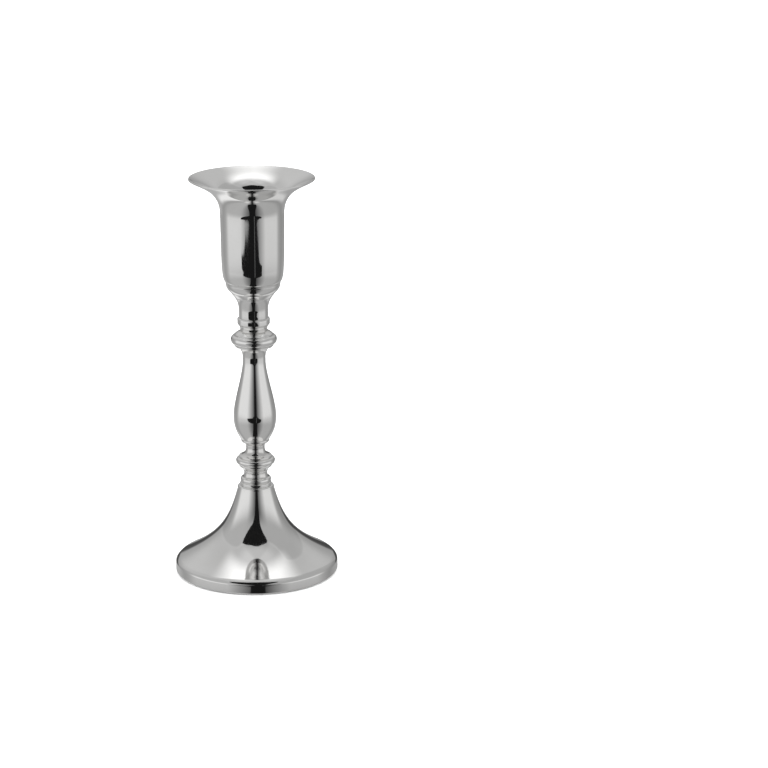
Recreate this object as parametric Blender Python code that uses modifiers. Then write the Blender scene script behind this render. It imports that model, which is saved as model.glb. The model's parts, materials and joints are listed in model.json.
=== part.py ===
"""A silver-plated candlestick, built as a stack of turned pieces clamped on a tie rod.

From the table up: a felt pad, a pressed base cover, a cast-iron ballast ring and a spun foot,
then eight turned mouldings and balusters on an M5 tie rod, held between a nut under the base
and a lock nut under the cup. The candle cup screws onto the rod's top end.

Every size below is in millimetres. The mesh itself is in metres, with +Z up and the origin
on the table, under the middle of the foot.
"""

import math

import bmesh
import bpy
from mathutils import Vector

MM = 0.001

# ---------------------------------------------------------------- fits and walls
SEAM = 0.3  # between two pieces that bear on each other
ROD_SLIP = 0.4  # radial, between the tie rod and what it passes through
TOOL_ROOM = 2.6  # radial, round the base nut for a socket spanner
NUT_ROOM = 1.6  # radial, round the lock nut inside the cup ring
DRIVE_FIT = 0.3  # radial, where one turned piece sits inside another

# ---------------------------------------------------------------- base
PAD_THICKNESS = 1.5
PAD_INSET = 1.3  # the pad stops this far inside the base cover's edge
FOOT_RADIUS = 40.6
FOOT_HEIGHT = 43.9
FOOT_WALL = 1.2
FOOT_EDGE_LIFT = 0.3  # the metal edge stays this far above the table
BAND_HEIGHT = 4.6  # the upright stretch of the foot's edge
BAND_SHOULDER_RISE = 2.4
BAND_SHOULDER_INSET = 2.2
CROWN_RADIUS = 9.2
CROWN_ROUNDING = 0.9
FLARE_START_ANGLE = 28.0  # degrees above the table, where the flare leaves the band
FLARE_END_ANGLE = 74.5  # degrees above the table, where it meets the crown
FLARE_START_PULL = 0.48  # handle lengths, as shares of the flare's straight run
FLARE_END_PULL = 0.385
COVER_THICKNESS = 0.8
COVER_FIT = 0.5  # radial, between the cover's flange and the inside of the foot
COVER_FLANGE = 3.1
BALLAST_HEIGHT = 12.0
BALLAST_ROOM = 0.8  # radial, between the ballast's bore and the cover's recess

# ---------------------------------------------------------------- tie rod and its fasteners
ROD_RADIUS = 2.5
ROD_CHAMFER = 0.5
ROD_PROUD = 0.4  # the rod ends this far beyond the base nut
ROD_PAD_GAP = 0.5
ROD_ENGAGEMENT = 6.2  # the rod's length inside the cup boss
NUT_FLATS = 8.0
BASE_NUT_HEIGHT = 4.0
LOCK_NUT_HEIGHT = 2.4
WASHER_RADIUS = 5.0
WASHER_THICKNESS = 1.0
LOCK_WASHER_RADIUS = 4.4
LOCK_WASHER_THICKNESS = 1.2
LOCK_WASHER_SPLIT = 1.0

# ---------------------------------------------------------------- stem, from the foot up
COLLAR_HEIGHT = 7.5
COLLAR_RING_RADIUS = 7.8
COLLAR_RING_HEIGHT = 1.1
COLLAR_BEAD_RADIUS = 7.65
COLLAR_BEAD_HEIGHT = 2.3
COLLAR_WAIST_RADIUS = 5.8
COLLAR_LIP_RADIUS = 6.1

LOWER_KNOP_HEIGHT = 12.7
LOWER_KNOP_RADIUS = 9.75
LOWER_KNOP_FOOT_RADIUS = 6.25
LOWER_KNOP_RING_RADIUS = 8.35
LOWER_KNOP_WAIST_RADIUS = 4.7

BALUSTER_RING_HEIGHT = 2.7
BALUSTER_RING_RADIUS = 7.05
BALUSTER_RING_FOOT_RADIUS = 4.95

BALUSTER_HEIGHT = 47.8
BALUSTER_FOOT_RADIUS = 7.2
BALUSTER_RADIUS = 10.62
BALUSTER_BELLY_RISE = 11.4
BALUSTER_NECK_RADIUS = 5.7
BALUSTER_LIP_RADIUS = 9.3
BALUSTER_WALL = 1.2

UPPER_KNOP_HEIGHT = 5.2
UPPER_KNOP_RADIUS = 11.4
UPPER_KNOP_SEAT_RADIUS = 9.75

NECK_BASE_HEIGHT = 4.4
NECK_BASE_FOOT_RADIUS = 9.45
NECK_BASE_WAIST_RADIUS = 6.75

NECK_RING_HEIGHT = 3.6
NECK_RING_RADIUS = 8.05
NECK_RING_BEVEL = 0.6

NECK_HEIGHT = 10.0
NECK_RADIUS = 7.25
NECK_TOP_RADIUS = 9.2

CALYX_HEIGHT = 2.6
CALYX_FOOT_RADIUS = 9.3
CALYX_RADIUS = 11.15

# ---------------------------------------------------------------- cup
CUP_WASHER_THICKNESS = 0.6
WASHER_NUT_GAP = 0.5  # radial, from the nut's room to the fibre washer
CUP_SKIRT_WALL = 0.9  # the ring's thickness outside the fibre washer
CUP_RING_FOOT_RADIUS = 11.35
CUP_RING_TOP_RADIUS = 13.2
CUP_RING_WEB = 1.0  # the ring's thickness over the lock nut
CUP_HEIGHT = 51.4  # to the outer edge of the rim
CUP_WALL = 0.9
CUP_TAPER = 0.7  # the cup's wall leans out this much between its bottom and its flare
CUP_BOTTOM_RISE = 6.9
CUP_FLARE_RISE = 35.3
RIM_RADIUS = 30.6
RIM_ANGLE = 30.0  # degrees above the table, where the flare ends
CANDLE_RADIUS = 11.0
CANDLE_FIT = 0.2
SOCKET_WALL = 0.9
SOCKET_DEPTH = 26.5  # from the socket's top down to the floor that the candle stands on
SOCKET_ROOM = 2.1  # radial, between the socket and the cup's wall
BOSS_WALL = 1.7
BOSS_FLANGE_RADIUS = 8.0
BOSS_FLANGE_HEIGHT = 1.6
BOSS_BARREL_HEIGHT = 4.8
SCREW_RADIUS = 2.0
SCREW_HEAD_RADIUS = 3.5
SCREW_HEAD_HEIGHT = 2.2
SCREW_LENGTH = 3.1
SCREW_SLOT_WIDTH = 1.0
SCREW_SLOT_DEPTH = 1.1
HEAD_ROOM = 0.6  # radial, round the screw's head in the dimple of the socket's floor
HEAD_SUNK = 0.3  # the head stays this far below the floor

# ---------------------------------------------------------------- roundness
STEM_SIDES = 24
WIDE_SIDES = 40
SMALL_SIDES = 16

# ---------------------------------------------------------------- heights above the table
ROD_BORE = ROD_RADIUS + ROD_SLIP
NUT_CORNER = NUT_FLATS / 2 / math.cos(math.radians(30))

cover_z = PAD_THICKNESS + SEAM
rod_bottom_z = PAD_THICKNESS + ROD_PAD_GAP
base_nut_z = rod_bottom_z + ROD_PROUD
lock_washer_z = base_nut_z + BASE_NUT_HEIGHT + SEAM
base_washer_z = lock_washer_z + LOCK_WASHER_THICKNESS + SEAM
recess_z = base_washer_z + WASHER_THICKNESS + SEAM
ballast_z = cover_z + COVER_THICKNESS + SEAM
foot_top_z = FOOT_EDGE_LIFT + FOOT_HEIGHT

collar_z = foot_top_z + SEAM
lower_knop_z = collar_z + COLLAR_HEIGHT + SEAM
baluster_ring_z = lower_knop_z + LOWER_KNOP_HEIGHT + SEAM
baluster_z = baluster_ring_z + BALUSTER_RING_HEIGHT + SEAM
upper_knop_z = baluster_z + BALUSTER_HEIGHT + SEAM
neck_base_z = upper_knop_z + UPPER_KNOP_HEIGHT + SEAM
neck_ring_z = neck_base_z + NECK_BASE_HEIGHT + SEAM
neck_z = neck_ring_z + NECK_RING_HEIGHT + SEAM
calyx_z = neck_z + NECK_HEIGHT + SEAM
stem_top_z = calyx_z + CALYX_HEIGHT

cup_ring_z = stem_top_z + SEAM
cup_web_z = cup_ring_z + LOCK_NUT_HEIGHT + SEAM
cup_ring_top_z = cup_web_z + CUP_RING_WEB
cup_z = cup_ring_top_z + SEAM
boss_neck = cup_z - cup_web_z + CUP_WALL + SEAM
rod_top_z = cup_web_z + ROD_ENGAGEMENT
socket_z = cup_web_z + boss_neck + BOSS_FLANGE_HEIGHT + BOSS_BARREL_HEIGHT + SEAM
screw_head_z = socket_z + SOCKET_WALL + SEAM

SOCKET_RADIUS = CANDLE_RADIUS + CANDLE_FIT
CUP_RADIUS = SOCKET_RADIUS + SOCKET_WALL + SOCKET_ROOM + CUP_WALL

# ---------------------------------------------------------------- finishes
# name: (colour, metallic, roughness)
FINISHES = {
    "silver plate": ((0.86, 0.85, 0.82), 1.0, 0.08),
    "steel": ((0.55, 0.55, 0.56), 1.0, 0.32),
    "brass": ((0.72, 0.53, 0.25), 1.0, 0.30),
    "cast iron": ((0.10, 0.10, 0.11), 0.6, 0.65),
    "felt": ((0.05, 0.12, 0.08), 0.0, 0.95),
    "vulcanised fibre": ((0.35, 0.10, 0.07), 0.0, 0.60),
}


def clear_scene():
    for item in list(bpy.data.objects):
        bpy.data.objects.remove(item, do_unlink=True)


def new_collection(name):
    collection = bpy.data.collections.new(name)
    bpy.context.scene.collection.children.link(collection)
    return collection


def new_empty(name, z):
    empty = bpy.data.objects.new(name, None)
    empty.empty_display_size = 0.02
    empty.location = (0, 0, z * MM)
    model.objects.link(empty)
    return empty


def finish_material(piece_name, finish):
    """A Principled material of the piece's own."""
    colour, metallic, roughness = FINISHES[finish]
    material = bpy.data.materials.new(f"{piece_name} {finish}")
    material.use_nodes = True
    shader = material.node_tree.nodes["Principled BSDF"]
    shader.inputs["Base Color"].default_value = (*colour, 1.0)
    shader.inputs["Metallic"].default_value = metallic
    shader.inputs["Roughness"].default_value = roughness
    material.diffuse_color = (*colour, 1.0)
    return material


def place(piece, base_z, parent, finish):
    """Sets a piece on the axis at its own height, under its parent empty."""
    piece.parent = parent
    piece.location = Vector((0, 0, base_z * MM)) - parent.location
    piece.data.materials.clear()
    piece.data.materials.append(finish_material(piece.name, finish))
    return piece


# ---------------------------------------------------------------- outlines, as (radius, height)
def bezier(start, start_handle, end_handle, end, steps):
    """Points along a cubic curve, without its first point."""
    points = []
    for step in range(1, steps + 1):
        t = step / steps
        u = 1 - t
        weights = (u**3, 3 * u * u * t, 3 * u * t * t, t**3)
        corners = (start, start_handle, end_handle, end)
        points.append(
            tuple(sum(w * c[axis] for w, c in zip(weights, corners)) for axis in (0, 1))
        )
    return points


def quarter(start, end, leaves, steps=4):
    """A quarter of an ellipse, without its first point, that leaves start down or across."""
    points = []
    for step in range(1, steps + 1):
        angle = math.pi / 2 * step / steps
        near, far = math.cos(angle), math.sin(angle)
        if leaves == "down":
            radius = end[0] + (start[0] - end[0]) * near
            height = start[1] + (end[1] - start[1]) * far
        else:
            radius = start[0] + (end[0] - start[0]) * far
            height = end[1] + (start[1] - end[1]) * near
        points.append((radius, height))
    return points


def inward(outline, distance):
    """The outline moved inwards from its outer side, which runs from top to bottom."""
    moved = []
    for index, (radius, height) in enumerate(outline):
        before = outline[max(index - 1, 0)]
        after = outline[min(index + 1, len(outline) - 1)]
        along = Vector((after[0] - before[0], after[1] - before[1])).normalized()
        moved.append((radius + along.y * distance, height - along.x * distance))
    return moved


def between(outline, low, high):
    """The stretch of an outline between two heights, with a point on each of them."""
    kept = [(radius_at(outline, high), high)]
    kept += [point for point in outline if low < point[1] < high]
    kept.append((radius_at(outline, low), low))
    return kept


def radius_at(outline, height):
    """The radius where the outline passes a height."""
    for upper, lower in zip(outline, outline[1:]):
        if upper[1] >= height >= lower[1] and upper[1] > lower[1]:
            share = (upper[1] - height) / (upper[1] - lower[1])
            return upper[0] + (lower[0] - upper[0]) * share
    return outline[-1][0]


# ---------------------------------------------------------------- ways of making a piece
def baked(piece):
    """Applies the modifiers, then shades the faces smooth and keeps the crisp edges crisp."""
    graph = bpy.context.evaluated_depsgraph_get()
    mesh = bpy.data.meshes.new_from_object(piece.evaluated_get(graph))
    mesh.name = piece.name
    piece.modifiers.clear()
    piece.data = mesh
    mesh.shade_smooth()
    mesh.set_sharp_from_angle(angle=math.radians(35))
    return piece


def outline_object(name, outline, closed, collection):
    mesh = bpy.data.meshes.new(name)
    edges = [(index, index + 1) for index in range(len(outline) - 1)]
    if closed:
        edges.append((len(outline) - 1, 0))
    mesh.from_pydata([(r * MM, 0, z * MM) for r, z in outline], edges, [])
    piece = bpy.data.objects.new(name, mesh)
    collection.objects.link(piece)
    return piece


def spin(piece, sides):
    screw = piece.modifiers.new("Screw", "SCREW")
    screw.axis = "Z"
    screw.angle = math.tau
    screw.steps = sides
    screw.render_steps = sides
    screw.use_merge_vertices = True
    screw.merge_threshold = 0.00001
    return screw


def turned(name, outline, sides, collection=None):
    """A solid ring: the outline runs down its outside and back up its bore."""
    piece = outline_object(name, outline, True, collection or model)
    spin(piece, sides)
    return baked(piece)


def spun_sheet(name, outline, wall, sides):
    """A shell: the outline runs down its outer side, and the wall grows inwards."""
    piece = outline_object(name, outline, False, model)
    spin(piece, sides)
    solidify = piece.modifiers.new("Wall", "SOLIDIFY")
    solidify.thickness = wall * MM
    solidify.offset = -1
    solidify.use_even_offset = True
    return baked(piece)


def solid_round(name, outline, sides, collection=None):
    """A solid with no bore: the outline starts and ends on the axis."""
    piece = outline_object(name, outline, False, collection or model)
    spin(piece, sides)
    return baked(piece)


def hide_cutter(cutter, parent, base_z):
    cutter.hide_render = True
    cutter.display_type = "WIRE"
    cutter.parent = parent
    cutter.location = Vector((0, 0, base_z * MM)) - parent.location


def boolean(piece, cutter, operation):
    modifier = piece.modifiers.new(operation.title(), "BOOLEAN")
    modifier.operation = operation
    modifier.solver = "EXACT"
    modifier.object = cutter


def block(name, size, centre, collection):
    """A box, its size and centre in millimetres."""
    mesh = bpy.data.meshes.new(name)
    form = bmesh.new()
    bmesh.ops.create_cube(form, size=1)
    bmesh.ops.scale(form, vec=Vector(size) * MM, verts=form.verts)
    bmesh.ops.translate(form, vec=Vector(centre) * MM, verts=form.verts)
    form.to_mesh(mesh)
    form.free()
    piece = bpy.data.objects.new(name, mesh)
    collection.objects.link(piece)
    return piece


def ring(name, inner, outer, height, sides):
    outline = [(outer, height), (outer, 0), (inner, 0), (inner, height)]
    return turned(name, outline, sides)


def hex_nut(name, height, base_z, parent):
    """A hexagon with a bore and both ends chamfered at its corners."""
    mesh = bpy.data.meshes.new(name)
    form = bmesh.new()
    bmesh.ops.create_cone(
        form,
        cap_ends=True,
        segments=6,
        radius1=NUT_CORNER * MM,
        radius2=NUT_CORNER * MM,
        depth=height * MM,
    )
    bmesh.ops.translate(form, vec=(0, 0, height / 2 * MM), verts=form.verts)
    form.to_mesh(mesh)
    form.free()
    nut = bpy.data.objects.new(name, mesh)
    model.objects.link(nut)

    chamfer = (NUT_CORNER - NUT_FLATS / 2) * 1.1
    chamfer_rise = chamfer * math.tan(math.radians(30))
    face = NUT_CORNER + 0.1 - chamfer
    side = NUT_CORNER + 0.1
    envelope_outline = [
        (face, height),
        (side, height - chamfer_rise),
        (side, chamfer_rise),
        (face, 0),
        (ROD_BORE, 0),
        (ROD_BORE, height),
    ]
    envelope = turned(f"{name} envelope", envelope_outline, SMALL_SIDES, cutters)
    hide_cutter(envelope, parent, base_z)
    boolean(nut, envelope, "INTERSECT")
    return place(nut, base_z, parent, "steel")


# ---------------------------------------------------------------- base
def foot_outline():
    """The foot's outer side, from the rod hole in its crown to the bottom edge."""
    crown_z = FOOT_HEIGHT
    crown_edge = (CROWN_RADIUS - CROWN_ROUNDING, crown_z)
    flare_top = (CROWN_RADIUS, crown_z - CROWN_ROUNDING)
    flare_foot = (FOOT_RADIUS - BAND_SHOULDER_INSET, BAND_HEIGHT + BAND_SHOULDER_RISE)
    run = math.dist(flare_top, flare_foot)
    end_angle = math.radians(FLARE_END_ANGLE)
    start_angle = math.radians(FLARE_START_ANGLE)
    top_pull = run * FLARE_END_PULL
    foot_pull = run * FLARE_START_PULL
    top_handle = (
        flare_top[0] + math.cos(end_angle) * top_pull,
        flare_top[1] - math.sin(end_angle) * top_pull,
    )
    foot_handle = (
        flare_foot[0] - math.cos(start_angle) * foot_pull,
        flare_foot[1] + math.sin(start_angle) * foot_pull,
    )
    shoulder_handle = (
        flare_foot[0] + math.cos(start_angle) * BAND_SHOULDER_INSET / 4,
        flare_foot[1] - math.sin(start_angle) * BAND_SHOULDER_INSET / 4,
    )
    band_handle = (FOOT_RADIUS, BAND_HEIGHT + BAND_SHOULDER_RISE / 3)

    outline = [(ROD_BORE, crown_z), crown_edge]
    outline += quarter(crown_edge, flare_top, "across", 2)
    outline += bezier(flare_top, top_handle, foot_handle, flare_foot, 10)
    outline += bezier(flare_foot, shoulder_handle, band_handle, (FOOT_RADIUS, BAND_HEIGHT), 3)
    outline.append((FOOT_RADIUS, 0))
    return outline


def make_foot():
    shell = spun_sheet("foot_shell", foot_outline(), FOOT_WALL, WIDE_SIDES)
    place(shell, FOOT_EDGE_LIFT, stem, "silver plate")


def cover_radius():
    return FOOT_RADIUS - FOOT_WALL - COVER_FIT


def recess_radius():
    return NUT_CORNER + TOOL_ROOM


def make_base_cover():
    """A pressed plate: the recess in its middle hides the base nut, its rim stiffens it."""
    recess_wall = recess_radius() + COVER_THICKNESS
    recess_top = recess_z + COVER_THICKNESS - cover_z
    flange = cover_radius() - COVER_THICKNESS
    outline = [
        (ROD_BORE, recess_top),
        (recess_wall, recess_top),
        (recess_wall, COVER_THICKNESS),
        (flange, COVER_THICKNESS),
        (flange, COVER_FLANGE),
    ]
    cover = spun_sheet("base_cover", outline, COVER_THICKNESS, WIDE_SIDES)
    place(cover, cover_z, stem, "steel")


def make_felt_pad():
    radius = cover_radius() - PAD_INSET
    outline = [(0, PAD_THICKNESS), (radius, PAD_THICKNESS), (radius, 0), (0, 0)]
    pad = solid_round("felt_pad", outline, WIDE_SIDES)
    place(pad, 0, stem, "felt")


def make_ballast():
    """A cast ring that fills the foot under its flare and bears on the base cover."""
    bore = recess_radius() + COVER_THICKNESS + BALLAST_ROOM
    flange = cover_radius() - COVER_THICKNESS - SEAM
    lift = FOOT_EDGE_LIFT - ballast_z
    inside = inward(foot_outline(), FOOT_WALL + SEAM)
    inside = [(radius, height + lift) for radius, height in inside]
    flange_top = cover_z + COVER_FLANGE + SEAM - ballast_z
    outline = between(inside, flange_top, BALLAST_HEIGHT)
    outline += [(flange, flange_top), (flange, 0), (bore, 0), (bore, BALLAST_HEIGHT)]
    ballast = turned("ballast_ring", outline, WIDE_SIDES)
    place(ballast, ballast_z, stem, "cast iron")


# ---------------------------------------------------------------- tie rod and its fasteners
def make_tie_rod():
    length = rod_top_z - rod_bottom_z
    tip = ROD_RADIUS - ROD_CHAMFER
    outline = [
        (0, length),
        (tip, length),
        (ROD_RADIUS, length - ROD_CHAMFER),
        (ROD_RADIUS, ROD_CHAMFER),
        (tip, 0),
        (0, 0),
    ]
    rod = solid_round("tie_rod", outline, SMALL_SIDES)
    place(rod, rod_bottom_z, stem, "steel")


def make_fasteners():
    hex_nut("base_nut", BASE_NUT_HEIGHT, base_nut_z, stem)
    hex_nut("stem_lock_nut", LOCK_NUT_HEIGHT, cup_ring_z, stem)

    lock_washer = ring(
        "base_lock_washer", ROD_BORE, LOCK_WASHER_RADIUS, LOCK_WASHER_THICKNESS, SMALL_SIDES
    )
    reach = 2 * LOCK_WASHER_RADIUS
    split = block(
        "lock washer split",
        (reach, LOCK_WASHER_SPLIT, 3 * LOCK_WASHER_THICKNESS),
        (reach / 2, 0, LOCK_WASHER_THICKNESS / 2),
        cutters,
    )
    hide_cutter(split, stem, lock_washer_z)
    boolean(lock_washer, split, "DIFFERENCE")
    place(lock_washer, lock_washer_z, stem, "steel")

    washer = ring("base_washer", ROD_BORE, WASHER_RADIUS, WASHER_THICKNESS, SMALL_SIDES)
    place(washer, base_washer_z, stem, "steel")


# ---------------------------------------------------------------- stem mouldings
def make_moulding(name, outer, base_z):
    """A solid turned piece with the rod's bore through it."""
    bore = [(ROD_BORE, outer[-1][1]), (ROD_BORE, outer[0][1])]
    piece = turned(name, outer + bore, STEM_SIDES)
    place(piece, base_z, stem, "silver plate")


def make_foot_collar():
    """From the bottom: a plain ring, a bead, a scotia and a small lip."""
    bead_foot = COLLAR_RING_HEIGHT + 0.35
    bead_top = bead_foot + COLLAR_BEAD_HEIGHT
    bead_middle = bead_foot + COLLAR_BEAD_HEIGHT / 2
    groove = COLLAR_BEAD_RADIUS - 0.35
    bead_seat = COLLAR_BEAD_RADIUS - 0.65
    waist_z = COLLAR_HEIGHT - 0.9
    outer = [(COLLAR_LIP_RADIUS, COLLAR_HEIGHT), (COLLAR_LIP_RADIUS, COLLAR_HEIGHT - 0.5)]
    outer.append((COLLAR_WAIST_RADIUS, waist_z))
    outer += quarter((COLLAR_WAIST_RADIUS, waist_z), (bead_seat, bead_top), "down")
    outer += quarter((bead_seat, bead_top), (COLLAR_BEAD_RADIUS, bead_middle), "across", 3)
    outer += quarter((COLLAR_BEAD_RADIUS, bead_middle), (groove, bead_foot), "down", 3)
    outer += [(COLLAR_RING_RADIUS, COLLAR_RING_HEIGHT), (COLLAR_RING_RADIUS, 0)]
    make_moulding("foot_collar", outer, collar_z)


def make_lower_knop():
    """From the bottom: a bevelled ring, the knop itself, a narrow ring and a long cove."""
    ring_foot, ring_top = 2.1, 2.8
    knop_foot, knop_middle, knop_top = 2.9, 4.6, 6.3
    collar_foot, collar_top = 6.5, 7.3
    cove_top = LOWER_KNOP_HEIGHT - 1.4
    seat = LOWER_KNOP_RING_RADIUS - 0.2
    outer = [(LOWER_KNOP_WAIST_RADIUS + 0.1, LOWER_KNOP_HEIGHT)]
    outer.append((LOWER_KNOP_WAIST_RADIUS, cove_top))
    outer += quarter((LOWER_KNOP_WAIST_RADIUS, cove_top), (seat - 0.3, collar_top), "down")
    outer += [(seat, collar_top), (seat, collar_foot), (seat - 0.1, knop_top)]
    outer += quarter((seat - 0.1, knop_top), (LOWER_KNOP_RADIUS, knop_middle), "across")
    outer += quarter((LOWER_KNOP_RADIUS, knop_middle), (seat, knop_foot), "down")
    outer += [(LOWER_KNOP_RING_RADIUS, ring_top), (LOWER_KNOP_RING_RADIUS, ring_foot)]
    outer.append((LOWER_KNOP_FOOT_RADIUS, 0))
    make_moulding("lower_knop", outer, lower_knop_z)


def make_baluster_ring():
    edge_foot = (BALUSTER_RING_RADIUS, 1.9)
    outer = [(BALUSTER_RING_RADIUS - 0.1, BALUSTER_RING_HEIGHT)]
    outer += [(BALUSTER_RING_RADIUS, BALUSTER_RING_HEIGHT - 0.3), edge_foot]
    handle = (BALUSTER_RING_RADIUS - 0.35, 1.2)
    foot = (BALUSTER_RING_FOOT_RADIUS, 0)
    outer += bezier(edge_foot, handle, (BALUSTER_RING_FOOT_RADIUS + 0.7, 0.55), foot, 3)
    make_moulding("baluster_ring", outer, baluster_ring_z)


def baluster_outline():
    """The vase: a full belly low down, a slim neck, and a trumpet lip on top."""
    lip_z = BALUSTER_HEIGHT - 0.5
    neck_top = (BALUSTER_NECK_RADIUS, BALUSTER_HEIGHT - 6.0)
    neck_foot = (BALUSTER_NECK_RADIUS, BALUSTER_HEIGHT - 7.8)
    belly_top = (BALUSTER_RADIUS, BALUSTER_BELLY_RISE + 1.6)
    belly = (BALUSTER_RADIUS, BALUSTER_BELLY_RISE)
    taper = neck_foot[1] - belly_top[1]
    neck_handle = (BALUSTER_NECK_RADIUS, neck_foot[1] - taper * 0.255)
    belly_handle = (BALUSTER_RADIUS, belly_top[1] + taper * 0.225)
    foot = (BALUSTER_FOOT_RADIUS, 0)
    swell = BALUSTER_RADIUS - BALUSTER_FOOT_RADIUS
    foot_handle = (BALUSTER_FOOT_RADIUS + swell * 0.7, BALUSTER_BELLY_RISE / 3)

    outer = [(BALUSTER_LIP_RADIUS, BALUSTER_HEIGHT), (BALUSTER_LIP_RADIUS, lip_z)]
    outer += quarter((BALUSTER_LIP_RADIUS, lip_z), neck_top, "across", 4)
    outer.append(neck_foot)
    outer += bezier(neck_foot, neck_handle, belly_handle, belly_top, 6)
    outer.append(belly)
    outer += bezier(belly, (BALUSTER_RADIUS, BALUSTER_BELLY_RISE / 2), foot_handle, foot, 5)
    return outer


def make_baluster():
    """The vase is cast hollow in its belly; the rod's bore opens the hollow at both ends."""
    outer = baluster_outline()
    cavity_top = BALUSTER_HEIGHT - 13.0
    cavity = between(inward(outer, BALUSTER_WALL), BALUSTER_WALL, cavity_top)
    inner = [(ROD_BORE, 0), (ROD_BORE, BALUSTER_WALL)]
    inner += list(reversed(cavity))
    inner += [(ROD_BORE, cavity_top + 1.0), (ROD_BORE, BALUSTER_HEIGHT)]
    piece = turned("baluster", outer + inner, STEM_SIDES)
    place(piece, baluster_z, stem, "silver plate")


def make_upper_knop():
    """A fillet, a half-round knop and the seat of the neck."""
    knop_foot, knop_top = 0.7, UPPER_KNOP_HEIGHT - 0.3
    middle = (knop_foot + knop_top) / 2
    seat = UPPER_KNOP_SEAT_RADIUS
    outer = [(seat, UPPER_KNOP_HEIGHT), (seat, knop_top)]
    outer += quarter((seat, knop_top), (UPPER_KNOP_RADIUS, middle), "across")
    outer += quarter((UPPER_KNOP_RADIUS, middle), (seat + 0.1, knop_foot), "down")
    outer.append((seat, 0))
    make_moulding("upper_knop", outer, upper_knop_z)


def make_neck_base():
    """A sloping shoulder that draws the knop in to the width of the neck."""
    waist = NECK_BASE_WAIST_RADIUS
    waist_foot, waist_top = 1.8, 3.3
    outer = [(waist + 0.55, NECK_BASE_HEIGHT), (waist, waist_top), (waist, waist_foot)]
    slope = (NECK_BASE_FOOT_RADIUS - waist) / 3
    shoulder = (waist + 0.1, waist_foot - 0.1)
    foot = (NECK_BASE_FOOT_RADIUS, 0)
    high_handle = (waist + slope, waist_foot - 0.5)
    low_handle = (NECK_BASE_FOOT_RADIUS - slope * 0.8, 0.75)
    outer += bezier(shoulder, high_handle, low_handle, foot, 3)
    make_moulding("neck_base", outer, neck_base_z)


def make_neck_ring():
    inset = NECK_RING_RADIUS - NECK_RING_BEVEL
    outer = [
        (inset, NECK_RING_HEIGHT),
        (NECK_RING_RADIUS, NECK_RING_HEIGHT - NECK_RING_BEVEL),
        (NECK_RING_RADIUS, NECK_RING_BEVEL),
        (inset, 0),
    ]
    make_moulding("neck_ring", outer, neck_ring_z)


def make_neck():
    """A column that opens like a trumpet under the calyx."""
    spread = NECK_TOP_RADIUS - NECK_RADIUS
    top = (NECK_TOP_RADIUS, NECK_HEIGHT)
    top_handle = (NECK_TOP_RADIUS - spread * 0.6, NECK_HEIGHT - 1.6)
    foot = (NECK_RADIUS, 0.8)
    outer = [top]
    outer += bezier(top, top_handle, (NECK_RADIUS, NECK_HEIGHT * 0.55), foot, 7)
    outer.append((NECK_RADIUS + 0.1, 0))
    make_moulding("neck", outer, neck_z)


def make_calyx():
    """A shallow bowl-shaped ring that spreads the neck to the width of the cup."""
    edge = (CALYX_RADIUS, CALYX_HEIGHT - 0.2)
    foot = (CALYX_FOOT_RADIUS, 0)
    slope = (CALYX_RADIUS - CALYX_FOOT_RADIUS) / 3
    outer = [(CALYX_RADIUS - 0.05, CALYX_HEIGHT), edge]
    high_handle = (CALYX_RADIUS - slope * 0.8, 1.7)
    outer += bezier(edge, high_handle, (CALYX_FOOT_RADIUS + slope, 0.75), foot, 3)
    make_moulding("calyx", outer, calyx_z)


# ---------------------------------------------------------------- cup
def make_cup_washer():
    inner = NUT_CORNER + NUT_ROOM + WASHER_NUT_GAP
    outer = CUP_RING_FOOT_RADIUS - CUP_SKIRT_WALL - DRIVE_FIT
    washer = ring("cup_washer", inner, outer, CUP_WASHER_THICKNESS, STEM_SIDES)
    place(washer, cup_ring_z, cup, "vulcanised fibre")


def make_cup_ring():
    """The moulding under the cup: its hollow underside clears the lock nut and the washer."""
    ring_height = cup_ring_top_z - cup_ring_z
    washer_room = CUP_RING_FOOT_RADIUS - CUP_SKIRT_WALL
    washer_top = CUP_WASHER_THICKNESS + SEAM
    nut_room = NUT_CORNER + NUT_ROOM
    web_z = cup_web_z - cup_ring_z
    boss_hole = ROD_BORE + BOSS_WALL + DRIVE_FIT
    top = (CUP_RING_TOP_RADIUS, ring_height)
    foot = (CUP_RING_FOOT_RADIUS, 0)
    outer = [top]
    slope = (CUP_RING_TOP_RADIUS - CUP_RING_FOOT_RADIUS) / 3
    high_handle = (CUP_RING_TOP_RADIUS - slope * 0.9, ring_height * 0.67)
    low_handle = (CUP_RING_FOOT_RADIUS + slope * 0.9, ring_height * 0.33)
    outer += bezier(top, high_handle, low_handle, foot, 3)
    inner = [
        (washer_room, 0),
        (washer_room, washer_top),
        (nut_room, washer_top),
        (nut_room, web_z),
        (boss_hole, web_z),
        (boss_hole, ring_height),
    ]
    piece = turned("cup_ring", outer + inner, STEM_SIDES)
    place(piece, cup_ring_z, cup, "silver plate")


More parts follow.
